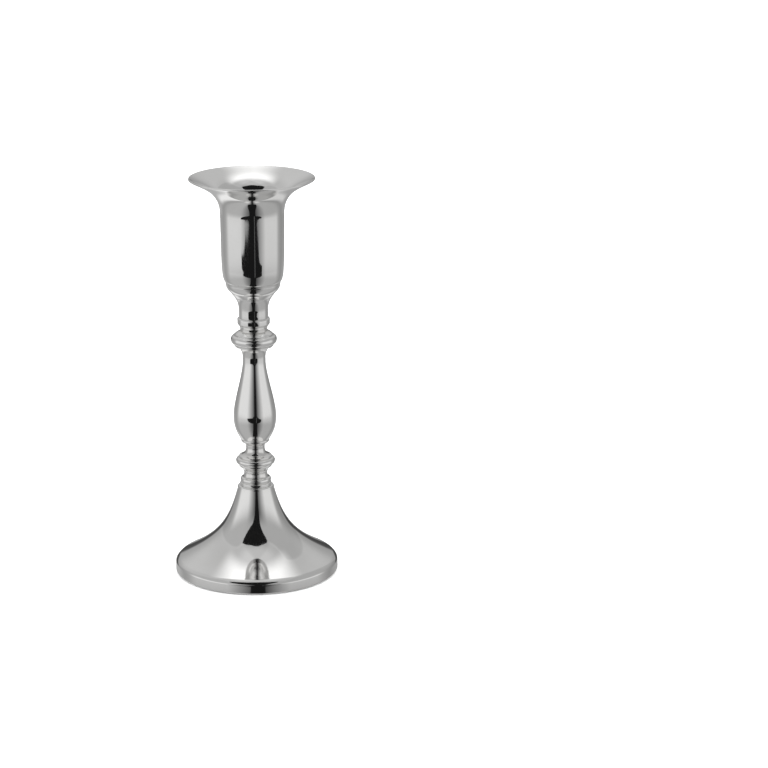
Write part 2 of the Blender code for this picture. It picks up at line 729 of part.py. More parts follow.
def cup_outline():
    """The cup's outer side, from its rim to the boss hole in its bottom."""
    rim = (RIM_RADIUS, CUP_HEIGHT)
    flare_foot = (CUP_RADIUS + CUP_TAPER, CUP_FLARE_RISE)
    body_foot = (CUP_RADIUS, CUP_BOTTOM_RISE)
    bottom = (CUP_RING_TOP_RADIUS + 0.1, 0)
    overhang = RIM_RADIUS - flare_foot[0]
    rise = CUP_HEIGHT - CUP_FLARE_RISE
    angle = math.radians(RIM_ANGLE)
    rim_handle = (
        RIM_RADIUS - math.cos(angle) * overhang * 0.24,
        CUP_HEIGHT - math.sin(angle) * overhang * 0.24,
    )
    outline = [rim]
    flare_handle = (flare_foot[0], CUP_FLARE_RISE + rise * 0.65)
    outline += bezier(rim, rim_handle, flare_handle, flare_foot, 9)
    outline.append(body_foot)
    body_handle = (CUP_RADIUS, CUP_BOTTOM_RISE * 0.52)
    bottom_handle = (bottom[0] + (CUP_RADIUS - bottom[0]) * 0.6, CUP_BOTTOM_RISE * 0.31)
    outline += bezier(body_foot, body_handle, bottom_handle, bottom, 4)
    outline.append((ROD_BORE + BOSS_WALL + DRIVE_FIT, 0))
    return outline


def make_candle_cup():
    shell = spun_sheet("candle_cup", cup_outline(), CUP_WALL, WIDE_SIDES)
    place(shell, cup_z, cup, "silver plate")


def make_cup_boss():
    """A brass bush through the cup's bottom: the rod screws in below, a screw above."""
    neck = ROD_BORE + BOSS_WALL
    flange_foot = boss_neck
    flange_top = flange_foot + BOSS_FLANGE_HEIGHT
    top = flange_top + BOSS_BARREL_HEIGHT
    step = top - (SCREW_LENGTH - SOCKET_WALL)
    screw_bore = SCREW_RADIUS + SEAM
    outline = [
        (neck, top),
        (neck, flange_top),
        (BOSS_FLANGE_RADIUS, flange_top),
        (BOSS_FLANGE_RADIUS, flange_foot),
        (neck, flange_foot),
        (neck, 0),
        (ROD_BORE, 0),
        (ROD_BORE, step),
        (screw_bore, step),
        (screw_bore, top),
    ]
    boss = turned("cup_boss", outline, SMALL_SIDES)
    place(boss, cup_web_z, cup, "brass")


def make_candle_socket():
    """A straight-walled cup for the candle. A dimple in its floor takes the screw's head, and
    a flange at its top closes the gap to the outer cup."""
    dimple = SCREW_HEAD_RADIUS + HEAD_ROOM
    floor = SOCKET_WALL + SEAM + SCREW_HEAD_HEIGHT + HEAD_SUNK
    top = floor + SOCKET_DEPTH
    inside = inward(cup_outline(), CUP_WALL)
    flange_foot = top - SOCKET_WALL
    flange = radius_at(inside, socket_z + flange_foot - cup_z) - DRIVE_FIT
    outside = SOCKET_RADIUS + SOCKET_WALL
    hole = SCREW_RADIUS + SEAM
    outline = [
        (flange, top),
        (flange, flange_foot),
        (outside, flange_foot),
        (outside, floor - SOCKET_WALL),
        (dimple + SOCKET_WALL, floor - SOCKET_WALL),
        (dimple + SOCKET_WALL, 0),
        (hole, 0),
        (hole, SOCKET_WALL),
        (dimple, SOCKET_WALL),
        (dimple, floor),
        (SOCKET_RADIUS, floor),
        (SOCKET_RADIUS, top),
    ]
    socket = turned("candle_socket", outline, WIDE_SIDES)
    place(socket, socket_z, cup, "silver plate")


def make_socket_screw():
    """A slotted cheese-head screw through the dimple in the socket's floor."""
    outline = [
        (0, SCREW_HEAD_HEIGHT),
        (SCREW_HEAD_RADIUS - 0.3, SCREW_HEAD_HEIGHT),
        (SCREW_HEAD_RADIUS, SCREW_HEAD_HEIGHT - 0.3),
        (SCREW_HEAD_RADIUS, 0),
        (SCREW_RADIUS, 0),
        (SCREW_RADIUS, -SCREW_LENGTH),
        (0, -SCREW_LENGTH),
    ]
    screw = solid_round("socket_screw", outline, SMALL_SIDES)
    slot = block(
        "screw slot",
        (3 * SCREW_HEAD_RADIUS, SCREW_SLOT_WIDTH, 2 * SCREW_SLOT_DEPTH),
        (0, 0, SCREW_HEAD_HEIGHT),
        cutters,
    )
    hide_cutter(slot, cup, screw_head_z)
    boolean(screw, slot, "DIFFERENCE")
    place(screw, screw_head_z, cup, "steel")


clear_scene()
model = new_collection("silver candlestick")
cutters = new_collection("cutters")
stem = new_empty("stem_frame", 0)
cup = new_empty("cup_axis", cup_ring_z)

make_felt_pad()
make_base_cover()
make_ballast()
make_foot()
make_tie_rod()
make_fasteners()
make_foot_collar()
make_lower_knop()
make_baluster_ring()
make_baluster()
make_upper_knop()
make_neck_base()
make_neck_ring()
make_neck()
make_calyx()
make_cup_washer()
make_cup_ring()
make_candle_cup()
make_cup_boss()
make_candle_socket()
make_socket_screw()

print(f"{len(model.objects)} objects, {rod_top_z - rod_bottom_z:.1f} mm of tie rod")
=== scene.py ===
# %% [markdown]
# # A silver candlestick
#
# The real object is a stack of turned and spun pieces, threaded like beads on one steel rod and
# plated with silver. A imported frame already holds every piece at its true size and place. This
# lesson gives each piece its finished surface, its material, and then the light and the camera.

# %% Load the frame
import json
import math

import bmesh
import bpy
import numpy as np
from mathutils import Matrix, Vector, noise


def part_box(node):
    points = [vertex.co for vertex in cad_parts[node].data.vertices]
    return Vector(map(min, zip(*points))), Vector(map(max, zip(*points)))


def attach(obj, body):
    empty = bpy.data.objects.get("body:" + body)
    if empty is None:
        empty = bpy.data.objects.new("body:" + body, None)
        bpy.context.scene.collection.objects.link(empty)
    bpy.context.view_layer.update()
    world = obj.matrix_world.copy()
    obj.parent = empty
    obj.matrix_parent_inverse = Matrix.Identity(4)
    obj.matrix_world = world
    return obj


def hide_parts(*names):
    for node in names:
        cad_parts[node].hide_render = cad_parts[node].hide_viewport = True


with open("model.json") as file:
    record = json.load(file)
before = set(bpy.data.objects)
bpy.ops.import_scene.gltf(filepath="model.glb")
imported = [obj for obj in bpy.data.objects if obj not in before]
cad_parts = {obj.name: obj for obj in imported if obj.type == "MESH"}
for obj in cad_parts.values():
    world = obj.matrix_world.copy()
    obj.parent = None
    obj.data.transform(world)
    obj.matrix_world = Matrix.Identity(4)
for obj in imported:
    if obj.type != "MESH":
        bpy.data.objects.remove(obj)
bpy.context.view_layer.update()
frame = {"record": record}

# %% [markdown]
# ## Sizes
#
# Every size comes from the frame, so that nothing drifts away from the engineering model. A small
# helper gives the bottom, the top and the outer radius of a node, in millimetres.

MM = 0.001
body_of = {}
for body, members in frame["record"]["behaviour"]["bodies"].items():
    for member in members:
        body_of[member] = body


def extent(node):
    """A node's bottom, top and outer radius, in millimetres."""
    low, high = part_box(node)
    return low.z / MM, high.z / MM, -low.x / MM


print(f"{len(body_of)} nodes, {extent('candle_cup')[1]:.1f} mm tall")

# %% [markdown]
# ## Outlines
#
# A turned piece is known by one line: its outline from the axis outwards. Two helpers draw the
# curved stretches. `bend` is a cubic curve, for flares and shoulders. `quarter` is a quarter of an
# ellipse, for beads and hollows. Both leave out their first point, so stretches can be added up.

# %% Curved stretches
def bend(start, start_handle, end_handle, end, steps=40):
    """A curve that leaves its start towards one handle and reaches its end from the other."""
    t = np.linspace(0, 1, steps + 1)[1:, None]
    u = 1 - t
    corners = [np.array(corner, float) for corner in (start, start_handle, end_handle, end)]
    weights = (u**3, 3 * u * u * t, 3 * u * t * t, t**3)
    return [tuple(point) for point in sum(w * c for w, c in zip(weights, corners))]


def quarter(start, end, leaves, steps=12):
    """Leaves its start going down, or going across."""
    angle = np.linspace(0, math.pi / 2, steps + 1)[1:]
    near, far = np.cos(angle), np.sin(angle)
    if leaves == "down":
        radius = end[0] + (start[0] - end[0]) * near
        height = start[1] + (end[1] - start[1]) * far
    else:
        radius = start[0] + (end[0] - start[0]) * far
        height = end[1] + (start[1] - end[1]) * near
    return list(zip(radius, height))


def inset(points, distance):
    """A smooth line moved to the inner side, when it runs down the outside of a piece."""
    line = np.array(points, float)
    along = np.gradient(line, axis=0)
    along /= np.linalg.norm(along, axis=1)[:, None]
    inner = line + np.column_stack((along[:, 1], -along[:, 0])) * distance
    return [tuple(point) for point in inner]


bead = quarter((0, 1), (2, 0), "across")
print(f"a quarter of a bead has {len(bead)} points and ends at {bead[-1][0]:.1f}, {bead[-1][1]:.1f}")

# %% [markdown]
# ## What polishing does to an edge
#
# A silversmith's mop rounds every corner a little, and those soft corners catch the light as the
# bright lines round each moulding. `polished` does the same to an outline: it is cut into very
# short steps, each point is averaged with its neighbours, and the points that a smooth curve
# doesn't need are dropped again. It also measures how deep each point lies in a groove, because
# the mop doesn't reach there and the silver stays rougher, and because the colour of the grooves
# is darkened there as painted shade.

# %% Rounding an outline
STEP = 0.05  # millimetres between the points while an outline is being rounded
CHORD_ERROR = 0.0012  # how far, in millimetres, a straight step may leave the curve
LONGEST_STEP = 2.0
GROOVE_REACH = 1.0  # the mop's softness: how far it looks to both sides
GROOVE_DEPTH = 0.22  # a point this far below its surroundings is wholly in a groove


def extended(line, width, hollow):
    """A closed line goes on round itself; a line between two points of the axis is mirrored."""
    if hollow:
        return np.concatenate((line[-width:], line, line[:width]))
    mirrored = line[::-1] * (-1, 1)
    return np.concatenate((mirrored[-width - 1 : -1], line, mirrored[1 : width + 1]))


def averaged(line, reach, hollow):
    """Two passes of a moving average."""
    width = 2 * max(int(round(reach / STEP)), 1) + 1
    kernel = np.ones(width) / width
    for _ in range(2):
        longer = extended(line, width, hollow)
        smooth = [np.convolve(longer[:, axis], kernel, "same") for axis in (0, 1)]
        line = np.column_stack(smooth)[width:-width]
    return line


def thinned(line):
    """The indices of the points that a line needs to stay within the chord error."""
    kept = [0]
    last = len(line) - 1
    while kept[-1] < last:
        start = kept[-1]
        reach = start + 1
        while reach < last:
            chord = line[reach + 1] - line[start]
            length = math.hypot(*chord)
            between = line[start + 1 : reach + 1] - line[start]
            off = np.abs(between @ np.array((-chord[1], chord[0]))) / length
            if off.max() > CHORD_ERROR or length > LONGEST_STEP:
                break
            reach += 1
        kept.append(reach)
    return kept


def polished(outline, rounding, hollow):
    """The rounded outline, and how deep each of its points lies in a groove, from 0 to 1."""
    corners = np.array(list(outline) + ([outline[0]] if hollow else []), float)
    lengths = np.linalg.norm(np.diff(corners, axis=0), axis=1)
    travelled = np.concatenate(([0], np.cumsum(lengths)))
    places = np.linspace(0, travelled[-1], int(travelled[-1] / STEP) + 1)
    line = np.column_stack([np.interp(places, travelled, corners[:, axis]) for axis in (0, 1)])
    line = averaged(line[:-1] if hollow else line, rounding, hollow)
    around = extended(line, 1, hollow)
    along = around[2:] - around[:-2]
    along /= np.linalg.norm(along, axis=1)[:, None]
    outwards = np.column_stack((-along[:, 1], along[:, 0]))
    depth = ((averaged(line, GROOVE_REACH, hollow) - line) * outwards).sum(axis=1)
    groove = np.clip(depth / GROOVE_DEPTH, 0, 1)
    if hollow:
        line = np.vstack((line, line[:1]))
        groove = np.append(groove, groove[0])
    kept = thinned(line)
    return line[kept], groove[kept]


block = [(0, 2), (2, 2), (2, 0), (0, 0)]
print(f"{len(block)} corners become {len(polished(block, 0.2, hollow=False)[0])} points")

# %% [markdown]
# ## A lathe in Geometry Nodes
#
# Blender's Screw modifier could spin an outline, but a lathe of our own can do more. It lays out a
# flat grid whose rows are the outline's points and whose columns go round the axis, and moves each
# grid point to where the outline would be at that angle. It carries the groove depth along, and
# it can climb as it turns or stop before a full turn, which is how a spring washer is shaped.

# %% Helpers for node trees
WELD = 0.002 * MM  # points closer than this become one


def add(tree, kind, values=None, **settings):
    """Adds a node. A value that is another node's socket becomes a link."""
    made = tree.nodes.new(kind)
    for setting, value in settings.items():
        setattr(made, setting, value)
    for name, value in (values or {}).items():
        if isinstance(value, bpy.types.NodeSocket):
            tree.links.new(value, made.inputs[name])
        else:
            made.inputs[name].default_value = value
    return made


def compute(tree, operation, *values):
    """One arithmetic step, on sockets or numbers."""
    return add(tree, "ShaderNodeMath", dict(enumerate(values)), operation=operation).outputs[0]


def new_geometry_tree(name, sizes):
    tree = bpy.data.node_groups.new(name, "GeometryNodeTree")
    for size, kind in sizes.items():
        tree.interface.new_socket(size, in_out="INPUT", socket_type=f"NodeSocket{kind}")
    tree.interface.new_socket("Made", in_out="OUTPUT", socket_type="NodeSocketGeometry")
    return tree, tree.nodes.new("NodeGroupInput").outputs


def end_tree(tree, geometry, material):
    """Every tree ends the same way: real geometry, one material, one output."""
    real = add(tree, "GeometryNodeRealizeInstances", {"Geometry": geometry})
    painted = add(tree, "GeometryNodeSetMaterial", {"Geometry": real.outputs[0], "Material": material})
    add(tree, "NodeGroupOutput", {"Made": painted.outputs[0]})


print(f"points closer than {WELD / MM} mm are welded")


# %% The lathe
def build_lathe():
    sizes = {"Outline": "Geometry", "Sides": "Int", "Start": "Float", "Turn": "Float", "Climb": "Float"}
    tree, given = new_geometry_tree("lathe", sizes | {"Material": "Material"})
    points = add(tree, "GeometryNodeAttributeDomainSize", {"Geometry": given["Outline"]})
    columns = add(tree, "FunctionNodeIntegerMath", {0: given["Sides"], 1: 1}, operation="ADD")
    rows = points.outputs["Point Count"]
    grid = add(
        tree,
        "GeometryNodeMeshGrid",
        {"Size X": 1.0, "Size Y": 1.0, "Vertices X": columns.outputs[0], "Vertices Y": rows},
    )
    index = add(tree, "GeometryNodeInputIndex").outputs[0]
    split = {0: index, 1: rows}
    column = add(tree, "FunctionNodeIntegerMath", split, operation="DIVIDE_FLOOR").outputs[0]
    row = add(tree, "FunctionNodeIntegerMath", split, operation="MODULO").outputs[0]
    share = compute(tree, "DIVIDE", column, given["Sides"])
    place = add(tree, "GeometryNodeInputPosition").outputs[0]
    outline_place = add(
        tree,
        "GeometryNodeSampleIndex",
        {"Geometry": given["Outline"], "Value": place, "Index": row},
        data_type="FLOAT_VECTOR",
    )
    groove = add(tree, "GeometryNodeInputNamedAttribute", {"Name": "groove"})
    outline_groove = add(
        tree,
        "GeometryNodeSampleIndex",
        {"Geometry": given["Outline"], "Value": groove.outputs[0], "Index": row},
    )
    angle = compute(tree, "MULTIPLY_ADD", share, given["Turn"], given["Start"])
    turned_place = add(
        tree,
        "ShaderNodeVectorRotate",
        {"Vector": outline_place.outputs[0], "Angle": angle},
        rotation_type="Z_AXIS",
    )
    climb = add(tree, "ShaderNodeCombineXYZ", {"Z": compute(tree, "MULTIPLY", share, given["Climb"])})
    placed = add(
        tree,
        "GeometryNodeSetPosition",
        {"Geometry": grid.outputs[0], "Position": turned_place.outputs[0], "Offset": climb.outputs[0]},
    )
    with_uv = add(
        tree,
        "GeometryNodeStoreNamedAttribute",
        {"Geometry": placed.outputs[0], "Name": "UVMap", "Value": grid.outputs[1]},
        data_type="FLOAT2",
        domain="CORNER",
    )
    with_groove = add(
        tree,
        "GeometryNodeStoreNamedAttribute",
        {"Geometry": with_uv.outputs[0], "Name": "groove", "Value": outline_groove.outputs[0]},
    )
    closed = add(
        tree,
        "GeometryNodeMergeByDistance",
        {"Geometry": with_groove.outputs[0], "Distance": WELD},
    )
    end_tree(tree, closed.outputs[0], given["Material"])
    return tree


lathe = build_lathe()
print(f"lathe: {len(lathe.nodes)} nodes")

# %% [markdown]
# ## Using the lathe
#
# The outline becomes a mesh of points, the lathe is put on it as a modifier, and the result is
# taken off as a plain mesh. A modifier's inputs are known by identifiers and not by their names,
# so a helper looks each one up. Normals are worked out again at the end, because a line that runs
# the other way round would otherwise give a piece that is inside out.

# %% Making a piece and running a tree on it
def new_piece(name, mesh=None):
    piece = bpy.data.objects.new(name, mesh or bpy.data.meshes.new(name))
    bpy.context.scene.collection.objects.link(piece)
    return piece


def run_tree(piece, tree, values):
    """Applies a Geometry Nodes tree to a piece, and leaves a plain mesh."""
    modifier = piece.modifiers.new(tree.name, "NODES")
    modifier.node_group = tree
    for socket in tree.interface.items_tree:
        if socket.in_out == "INPUT" and socket.name in values:
            modifier[socket.identifier] = values[socket.name]
    graph = bpy.context.evaluated_depsgraph_get()
    made = bpy.data.meshes.new_from_object(piece.evaluated_get(graph))
    piece.modifiers.clear()
    piece.data = made
    made.name = piece.name
    return piece


def smooth_shaded(piece, crisp_angle=40):
    """Turns the faces outwards, and shades them smoothly except over edges above the angle."""
    form = bmesh.new()
    form.from_mesh(piece.data)
    bmesh.ops.recalc_face_normals(form, faces=form.faces)
    form.to_mesh(piece.data)
    form.free()
    piece.data.shade_smooth()
    piece.data.set_sharp_from_angle(angle=math.radians(crisp_angle))
    return piece


def close_ends(piece):
    """Fills the two open ends of a ring that doesn't go all the way round."""
    form = bmesh.new()
    form.from_mesh(piece.data)
    bmesh.ops.holes_fill(form, edges=[edge for edge in form.edges if edge.is_boundary], sides=0)
    form.to_mesh(piece.data)
    form.free()


inputs = [socket.name for socket in lathe.interface.items_tree if socket.in_out == "INPUT"]
print(f"the lathe asks for {', '.join(inputs)}")

# %% Turning a piece, and fitting it to the frame
WIDE_SIDES = 192
STEM_SIDES = 128
SMALL_SIDES = 64


def turned(name, outline, base, material, sides=STEM_SIDES, rounding=0.22, gap=0, climb=0):
    """Spins an outline, in millimetres above the base height, into a finished mesh. The outline
    is closed, or runs from axis to axis. A gap in degrees leaves the ring open."""
    line, groove = polished(outline, rounding, hollow=outline[0][0] > 0)
    mesh = bpy.data.meshes.new(name)
    edges = [(index, index + 1) for index in range(len(line) - 1)]
    mesh.from_pydata([(radius * MM, 0, (height + base) * MM) for radius, height in line], edges, [])
    depth = mesh.attributes.new("groove", "FLOAT", "POINT")
    depth.data.foreach_set("value", groove.astype(np.float32))
    values = {
        "Sides": sides,
        "Start": math.radians(gap / 2),
        "Turn": math.radians(360 - gap),
        "Climb": climb * MM,
        "Material": material,
    }
    piece = run_tree(new_piece(name, mesh), lathe, values)
    if gap:
        close_ends(piece)
    return smooth_shaded(piece)


def fitted(piece, node):
    """The piece stands for a node of the frame, and moves with the node's body."""
    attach(piece, body_of[node])
    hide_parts(node)
    faces = len(piece.data.polygons)
    print(f"{piece.name}: {faces} faces, on {body_of[node]}")
    return piece


print(f"a wide piece has {WIDE_SIDES} sides, a stem piece {STEM_SIDES}, a fastener {SMALL_SIDES}")

# %% [markdown]
# ## Finishes
#
# A finish is more than a colour. Polished silver plate is almost a mirror, yet it has faint rings
# from the polishing wheel, thumb-sized patches that are a shade duller, and in the grooves a little
# polish residue and a grey-brown painted shade. All of it is worked out from the place on the
# object and from the groove depth that the lathe carries, so it needs no picture and looks the
# same from every side.

# %% A plain material, and where a pattern lies
def new_material(name, colour, metallic, numbers=None):
    """A Principled material whose even values sit on the shader itself."""
    material = bpy.data.materials.new(name)
    material.use_nodes = True
    material.diffuse_color = (*colour, 1)
    shader = material.node_tree.nodes["Principled BSDF"]
    shader.inputs["Base Color"].default_value = (*colour, 1)
    shader.inputs["Metallic"].default_value = metallic
    for socket, value in (numbers or {}).items():
        shader.inputs[socket].default_value = value
    return material, material.node_tree, shader


def object_place(tree):
    return add(tree, "ShaderNodeTexCoord").outputs["Object"]


def ring_place(tree):
    """The distance from the axis and the height, so that a pattern runs round like turning marks."""
    place = object_place(tree)
    split = add(tree, "ShaderNodeSeparateXYZ", {0: place})
    flat = add(tree, "ShaderNodeCombineXYZ", {"X": split.outputs["X"], "Y": split.outputs["Y"]})
    radius = add(tree, "ShaderNodeVectorMath", {0: flat.outputs[0]}, operation="LENGTH")
    values = {"X": radius.outputs["Value"], "Z": split.outputs["Z"]}
    return add(tree, "ShaderNodeCombineXYZ", values).outputs[0]


# %% Patterns, colours and relief
def speckle(tree, place, size, detail=3.0, rough=0.5):
    """Noise whose patches are about this many millimetres across."""
    values = {"Vector": place, "Scale": 1 / (size * MM), "Detail": detail, "Roughness": rough}
    return add(tree, "ShaderNodeTexNoise", values).outputs["Fac"]


def spread(tree, factor, low, high, from_low=0.3, from_high=0.7):
    """Stretches a factor over a range of numbers."""
    values = {0: factor, 1: from_low, 2: from_high, 3: low, 4: high}
    return add(tree, "ShaderNodeMapRange", values).outputs[0]


def blend_colours(tree, factor, first, second):
    def as_input(colour):
        return colour if isinstance(colour, bpy.types.NodeSocket) else (*colour, 1)

    mix = add(tree, "ShaderNodeMix", data_type="RGBA")
    for name, value in (("A", as_input(first)), ("B", as_input(second))):
        socket = [s for s in mix.inputs if s.name == name and s.type == "RGBA"][0]
        if isinstance(value, bpy.types.NodeSocket):
            tree.links.new(value, socket)
        else:
            socket.default_value = value
    tree.links.new(factor, mix.inputs["Factor"])
    return [s for s in mix.outputs if s.type == "RGBA"][0]


def raised(tree, shader, *layers):
    """Stacks layers of relief: each is a height, from 0 to 1, and how many millimetres that is."""
    under = None
    for height, millimetres in layers:
        values = {"Height": height, "Distance": millimetres * MM}
        if under:
            values["Normal"] = under
        under = add(tree, "ShaderNodeBump", values).outputs[0]
    tree.links.new(under, shader.inputs["Normal"])


# %% [markdown]
# ## Silver plate
#
# On the real object this is a skin of silver, a few hundredths of a millimetre thick. A shader
# with full metal gives the mirror. One wide noise makes cloudy patches that are a little duller
# and rougher. One fine noise is spread by radius and height only, so its marks run round the axis
# as they do from a wheel. The groove depth roughens the grooves a little, as polish residue does,
# and darkens their colour towards grey-brown as painted shade. The candle socket gets the same
# recipe with more roughness, because nobody polishes it.

# %% Silver plate
SILVER = (0.93, 0.928, 0.92)
DULL_SILVER = (0.87, 0.865, 0.85)
# painted shade: the grey-brown that the grooves' colour is darkened towards, with a little polish
# residue
GROOVE_SHADE_AND_RESIDUE = (0.50, 0.47, 0.42)
MIRROR_SHINE, SATIN_SHINE = (0.035, 0.075), (0.16, 0.24)  # roughness at its best and at its dullest
MIRROR_RINGS, SATIN_RINGS = 0.00012, 0.0008  # depth of the wheel marks in millimetres


def groove_depth(tree):
    return add(tree, "ShaderNodeAttribute", attribute_name="groove").outputs["Fac"]


def silver_material(name, shine, rings):
    """Mirror or satin plate, with patches, wheel marks, and painted shade and residue in grooves."""
    material, tree, shader = new_material(name, SILVER, 1.0)
    place = object_place(tree)
    cloud = speckle(tree, place, 14, 4.0, 0.6)
    uneven_residue_and_shade = speckle(tree, place, 2.5, 2.0)
    wheel_marks = speckle(tree, ring_place(tree), 0.35, 4.0, 0.7)
    groove = groove_depth(tree)
    # painted shade in the grooves: the colour darkens by groove depth; the same mask roughens them like
    # residue
    residue_and_painted_shade = compute(tree, "MULTIPLY", groove, spread(tree, uneven_residue_and_shade, 0.12, 0.38))
    clean = blend_colours(tree, spread(tree, cloud, 0.0, 0.5), SILVER, DULL_SILVER)
    colour = blend_colours(tree, residue_and_painted_shade, clean, GROOVE_SHADE_AND_RESIDUE)
    tree.links.new(colour, shader.inputs["Base Color"])
    worn = spread(tree, cloud, shine[0], shine[1])
    rough = compute(tree, "MULTIPLY_ADD", residue_and_painted_shade, 0.25, worn)
    tree.links.new(rough, shader.inputs["Roughness"])
    raised(tree, shader, (wheel_marks, rings))
    return material


polished_silver = silver_material("polished silver plate", MIRROR_SHINE, MIRROR_RINGS)
satin_silver = silver_material("satin silver plate", SATIN_SHINE, SATIN_RINGS)
print(f"made {polished_silver.name} and {satin_silver.name}")


# %% [markdown]
# ## The hidden materials
#
# The parts inside have finishes of their own, which show when the cup is raised or the foot is
# turned over. Each is a colour with one or two noises at the size of the real thing: patches on
# zinc, tarnish on brass, sand grain on cast iron, pressed threads in fibre, and crossed hairs in
# felt.

# %% Steel and brass
def steel_material():
    """Zinc-plated steel: bluish grey, with a faint yellow passivation in patches."""
    material, tree, shader = new_material("zinc plated steel", (0.60, 0.61, 0.62), 1.0)
    place = object_place(tree)
    patches = speckle(tree, place, 3.0, 3.0)
    bluish, yellowish = (0.60, 0.61, 0.63), (0.60, 0.58, 0.50)
    colour = blend_colours(tree, spread(tree, patches, 0, 1), bluish, yellowish)
    tree.links.new(colour, shader.inputs["Base Color"])
    tree.links.new(spread(tree, patches, 0.22, 0.38), shader.inputs["Roughness"])
    marks = speckle(tree, ring_place(tree), 0.25, 3.0, 0.6)
    raised(tree, shader, (marks, 0.004), (speckle(tree, place, 0.4), 0.004))
    return material


def brass_material():
    """Turned brass: fine tool marks, and a brown tarnish that has begun in patches."""
    material, tree, shader = new_material("turned brass", (0.74, 0.55, 0.27), 1.0)
    patches = speckle(tree, object_place(tree), 4.0, 4.0, 0.6)
    bright, brown = (0.78, 0.59, 0.30), (0.52, 0.36, 0.17)
    colour = blend_colours(tree, spread(tree, patches, 0, 1), bright, brown)
    tree.links.new(colour, shader.inputs["Base Color"])
    tree.links.new(spread(tree, patches, 0.18, 0.36), shader.inputs["Roughness"])
    raised(tree, shader, (speckle(tree, ring_place(tree), 0.2, 2.0, 0.6), 0.008))
    return material


steel = steel_material()
brass = brass_material()
print(f"made {steel.name} and {brass.name}")


# %% Cast iron and fibre
def cast_iron_material():
    """Cast iron as it leaves the sand: a coarse grain, dark, with rust beginning in the pits."""
    material, tree, shader = new_material("cast iron", (0.10, 0.10, 0.11), 0.75)
    place = object_place(tree)
    grain = speckle(tree, place, 0.9, 6.0, 0.7)
    pits = speckle(tree, place, 3.5, 3.0, 0.6)
    skin, rust = (0.09, 0.09, 0.10), (0.20, 0.10, 0.05)
    colour = blend_colours(tree, spread(tree, pits, 0, 1, 0.5, 0.75), skin, rust)
    tree.links.new(colour, shader.inputs["Base Color"])
    tree.links.new(spread(tree, grain, 0.5, 0.8), shader.inputs["Roughness"])
    raised(tree, shader, (pits, 0.15), (grain, 0.12))
    return material


def fibre_material():
    """Vulcanised fibre: pressed red paper, dull, with darker threads in it."""
    dull = {"Specular IOR Level": 0.3}
    material, tree, shader = new_material("vulcanised fibre", (0.34, 0.09, 0.06), 0.0, dull)
    place = object_place(tree)
    stretched = add(tree, "ShaderNodeMapping", {"Vector": place, "Scale": (1, 6, 3)}).outputs[0]
    threads = speckle(tree, stretched, 2.0, 5.0, 0.7)
    red, dark_red = (0.40, 0.12, 0.08), (0.22, 0.05, 0.04)
    colour = blend_colours(tree, spread(tree, threads, 0, 1), red, dark_red)
    tree.links.new(colour, shader.inputs["Base Color"])
    tree.links.new(spread(tree, threads, 0.5, 0.7), shader.inputs["Roughness"])
    raised(tree, shader, (threads, 0.02))
    return material


cast_iron = cast_iron_material()
fibre = fibre_material()
print(f"made {cast_iron.name} and {fibre.name}")


# %% Felt
def felt_material():
    """Wool felt: fine fibres in every direction, a soft sheen, and paler worn patches."""
    woolly = {
        "Roughness": 0.95,
        "Specular IOR Level": 0.15,
        "Sheen Weight": 0.35,
        "Sheen Roughness": 0.5,
    }
    material, tree, shader = new_material("green wool felt", (0.05, 0.12, 0.08), 0.0, woolly)
    place = object_place(tree)
    bent = add(tree, "ShaderNodeTexNoise", {"Vector": place, "Scale": 400.0}).outputs["Color"]
    warp = add(tree, "ShaderNodeVectorMath", {0: bent, "Scale": 0.0016}, operation="SCALE").outputs[0]
    wandering = add(tree, "ShaderNodeVectorMath", {0: place, 1: warp}, operation="ADD").outputs[0]
    lengthways = add(tree, "ShaderNodeMapping", {"Vector": wandering, "Scale": (1, 7, 2)}).outputs[0]
    crossways = add(tree, "ShaderNodeMapping", {"Vector": wandering, "Scale": (7, 1, 2)}).outputs[0]
    hairs = compute(
        tree,
        "MAXIMUM",
        speckle(tree, lengthways, 1.1, 3.0, 0.6),
        speckle(tree, crossways, 1.1, 3.0, 0.6),
    )
    patches = speckle(tree, place, 12, 3.0, 0.6)
    deep, pale, worn = (0.025, 0.075, 0.045), (0.09, 0.19, 0.13), (0.11, 0.17, 0.12)
    wool = blend_colours(tree, spread(tree, hairs, 0, 1, 0.4, 0.75), deep, pale)
    colour = blend_colours(tree, spread(tree, patches, 0, 0.5, 0.45, 0.75), wool, worn)
    tree.links.new(colour, shader.inputs["Base Color"])
    raised(tree, shader, (patches, 0.1), (hairs, 0.12))
    return material


felt = felt_material()
print(f"{len(bpy.data.materials)} materials")

# %% [markdown]
# ## Foot
#
# The foot is a disc of brass sheet, spun over a wooden form while the lathe turns, so it is one
# smooth wall from the crown to the upright edge, where it is folded under. Two curves make it: the
# long flare, and the small shoulder over the edge. The inside is the same line, one wall further in.

# %% The foot's outside
ROD_BORE = extent("tie_rod")[2] + 0.4
FOOT_SHEET = 1.2

foot_base, foot_top, foot_radius = extent("foot_shell")
crown_radius = 9.2
crown_rounding = 0.9
edge_height = 4.6
shoulder_rise = 2.4
shoulder_inset = 2.2
hem_radius = 0.9


SHOULDER_LEAN = math.radians(28)


def foot_flare(top, foot):
    """Steep under the crown, and nearly flat where it reaches the shoulder."""
    run = math.dist(top, foot)
    steep, shallow = math.radians(74.5), SHOULDER_LEAN
    top_pull, foot_pull = run * 0.385, run * 0.48
    top_handle = (top[0] + math.cos(steep) * top_pull, top[1] - math.sin(steep) * top_pull)
    foot_handle = (
        foot[0] - math.cos(shallow) * foot_pull,
        foot[1] + math.sin(shallow) * foot_pull,
    )
    return bend(top, top_handle, foot_handle, foot, 60)


def foot_shoulder(start):
    """Goes on at the flare's slope, and turns down into the upright edge."""
    pull = shoulder_inset / 4
    handle = (
        start[0] + math.cos(SHOULDER_LEAN) * pull,
        start[1] - math.sin(SHOULDER_LEAN) * pull,
    )
    over_edge = (foot_radius, edge_height + shoulder_rise / 3)
    return bend(start, handle, over_edge, (foot_radius, edge_height), 16)


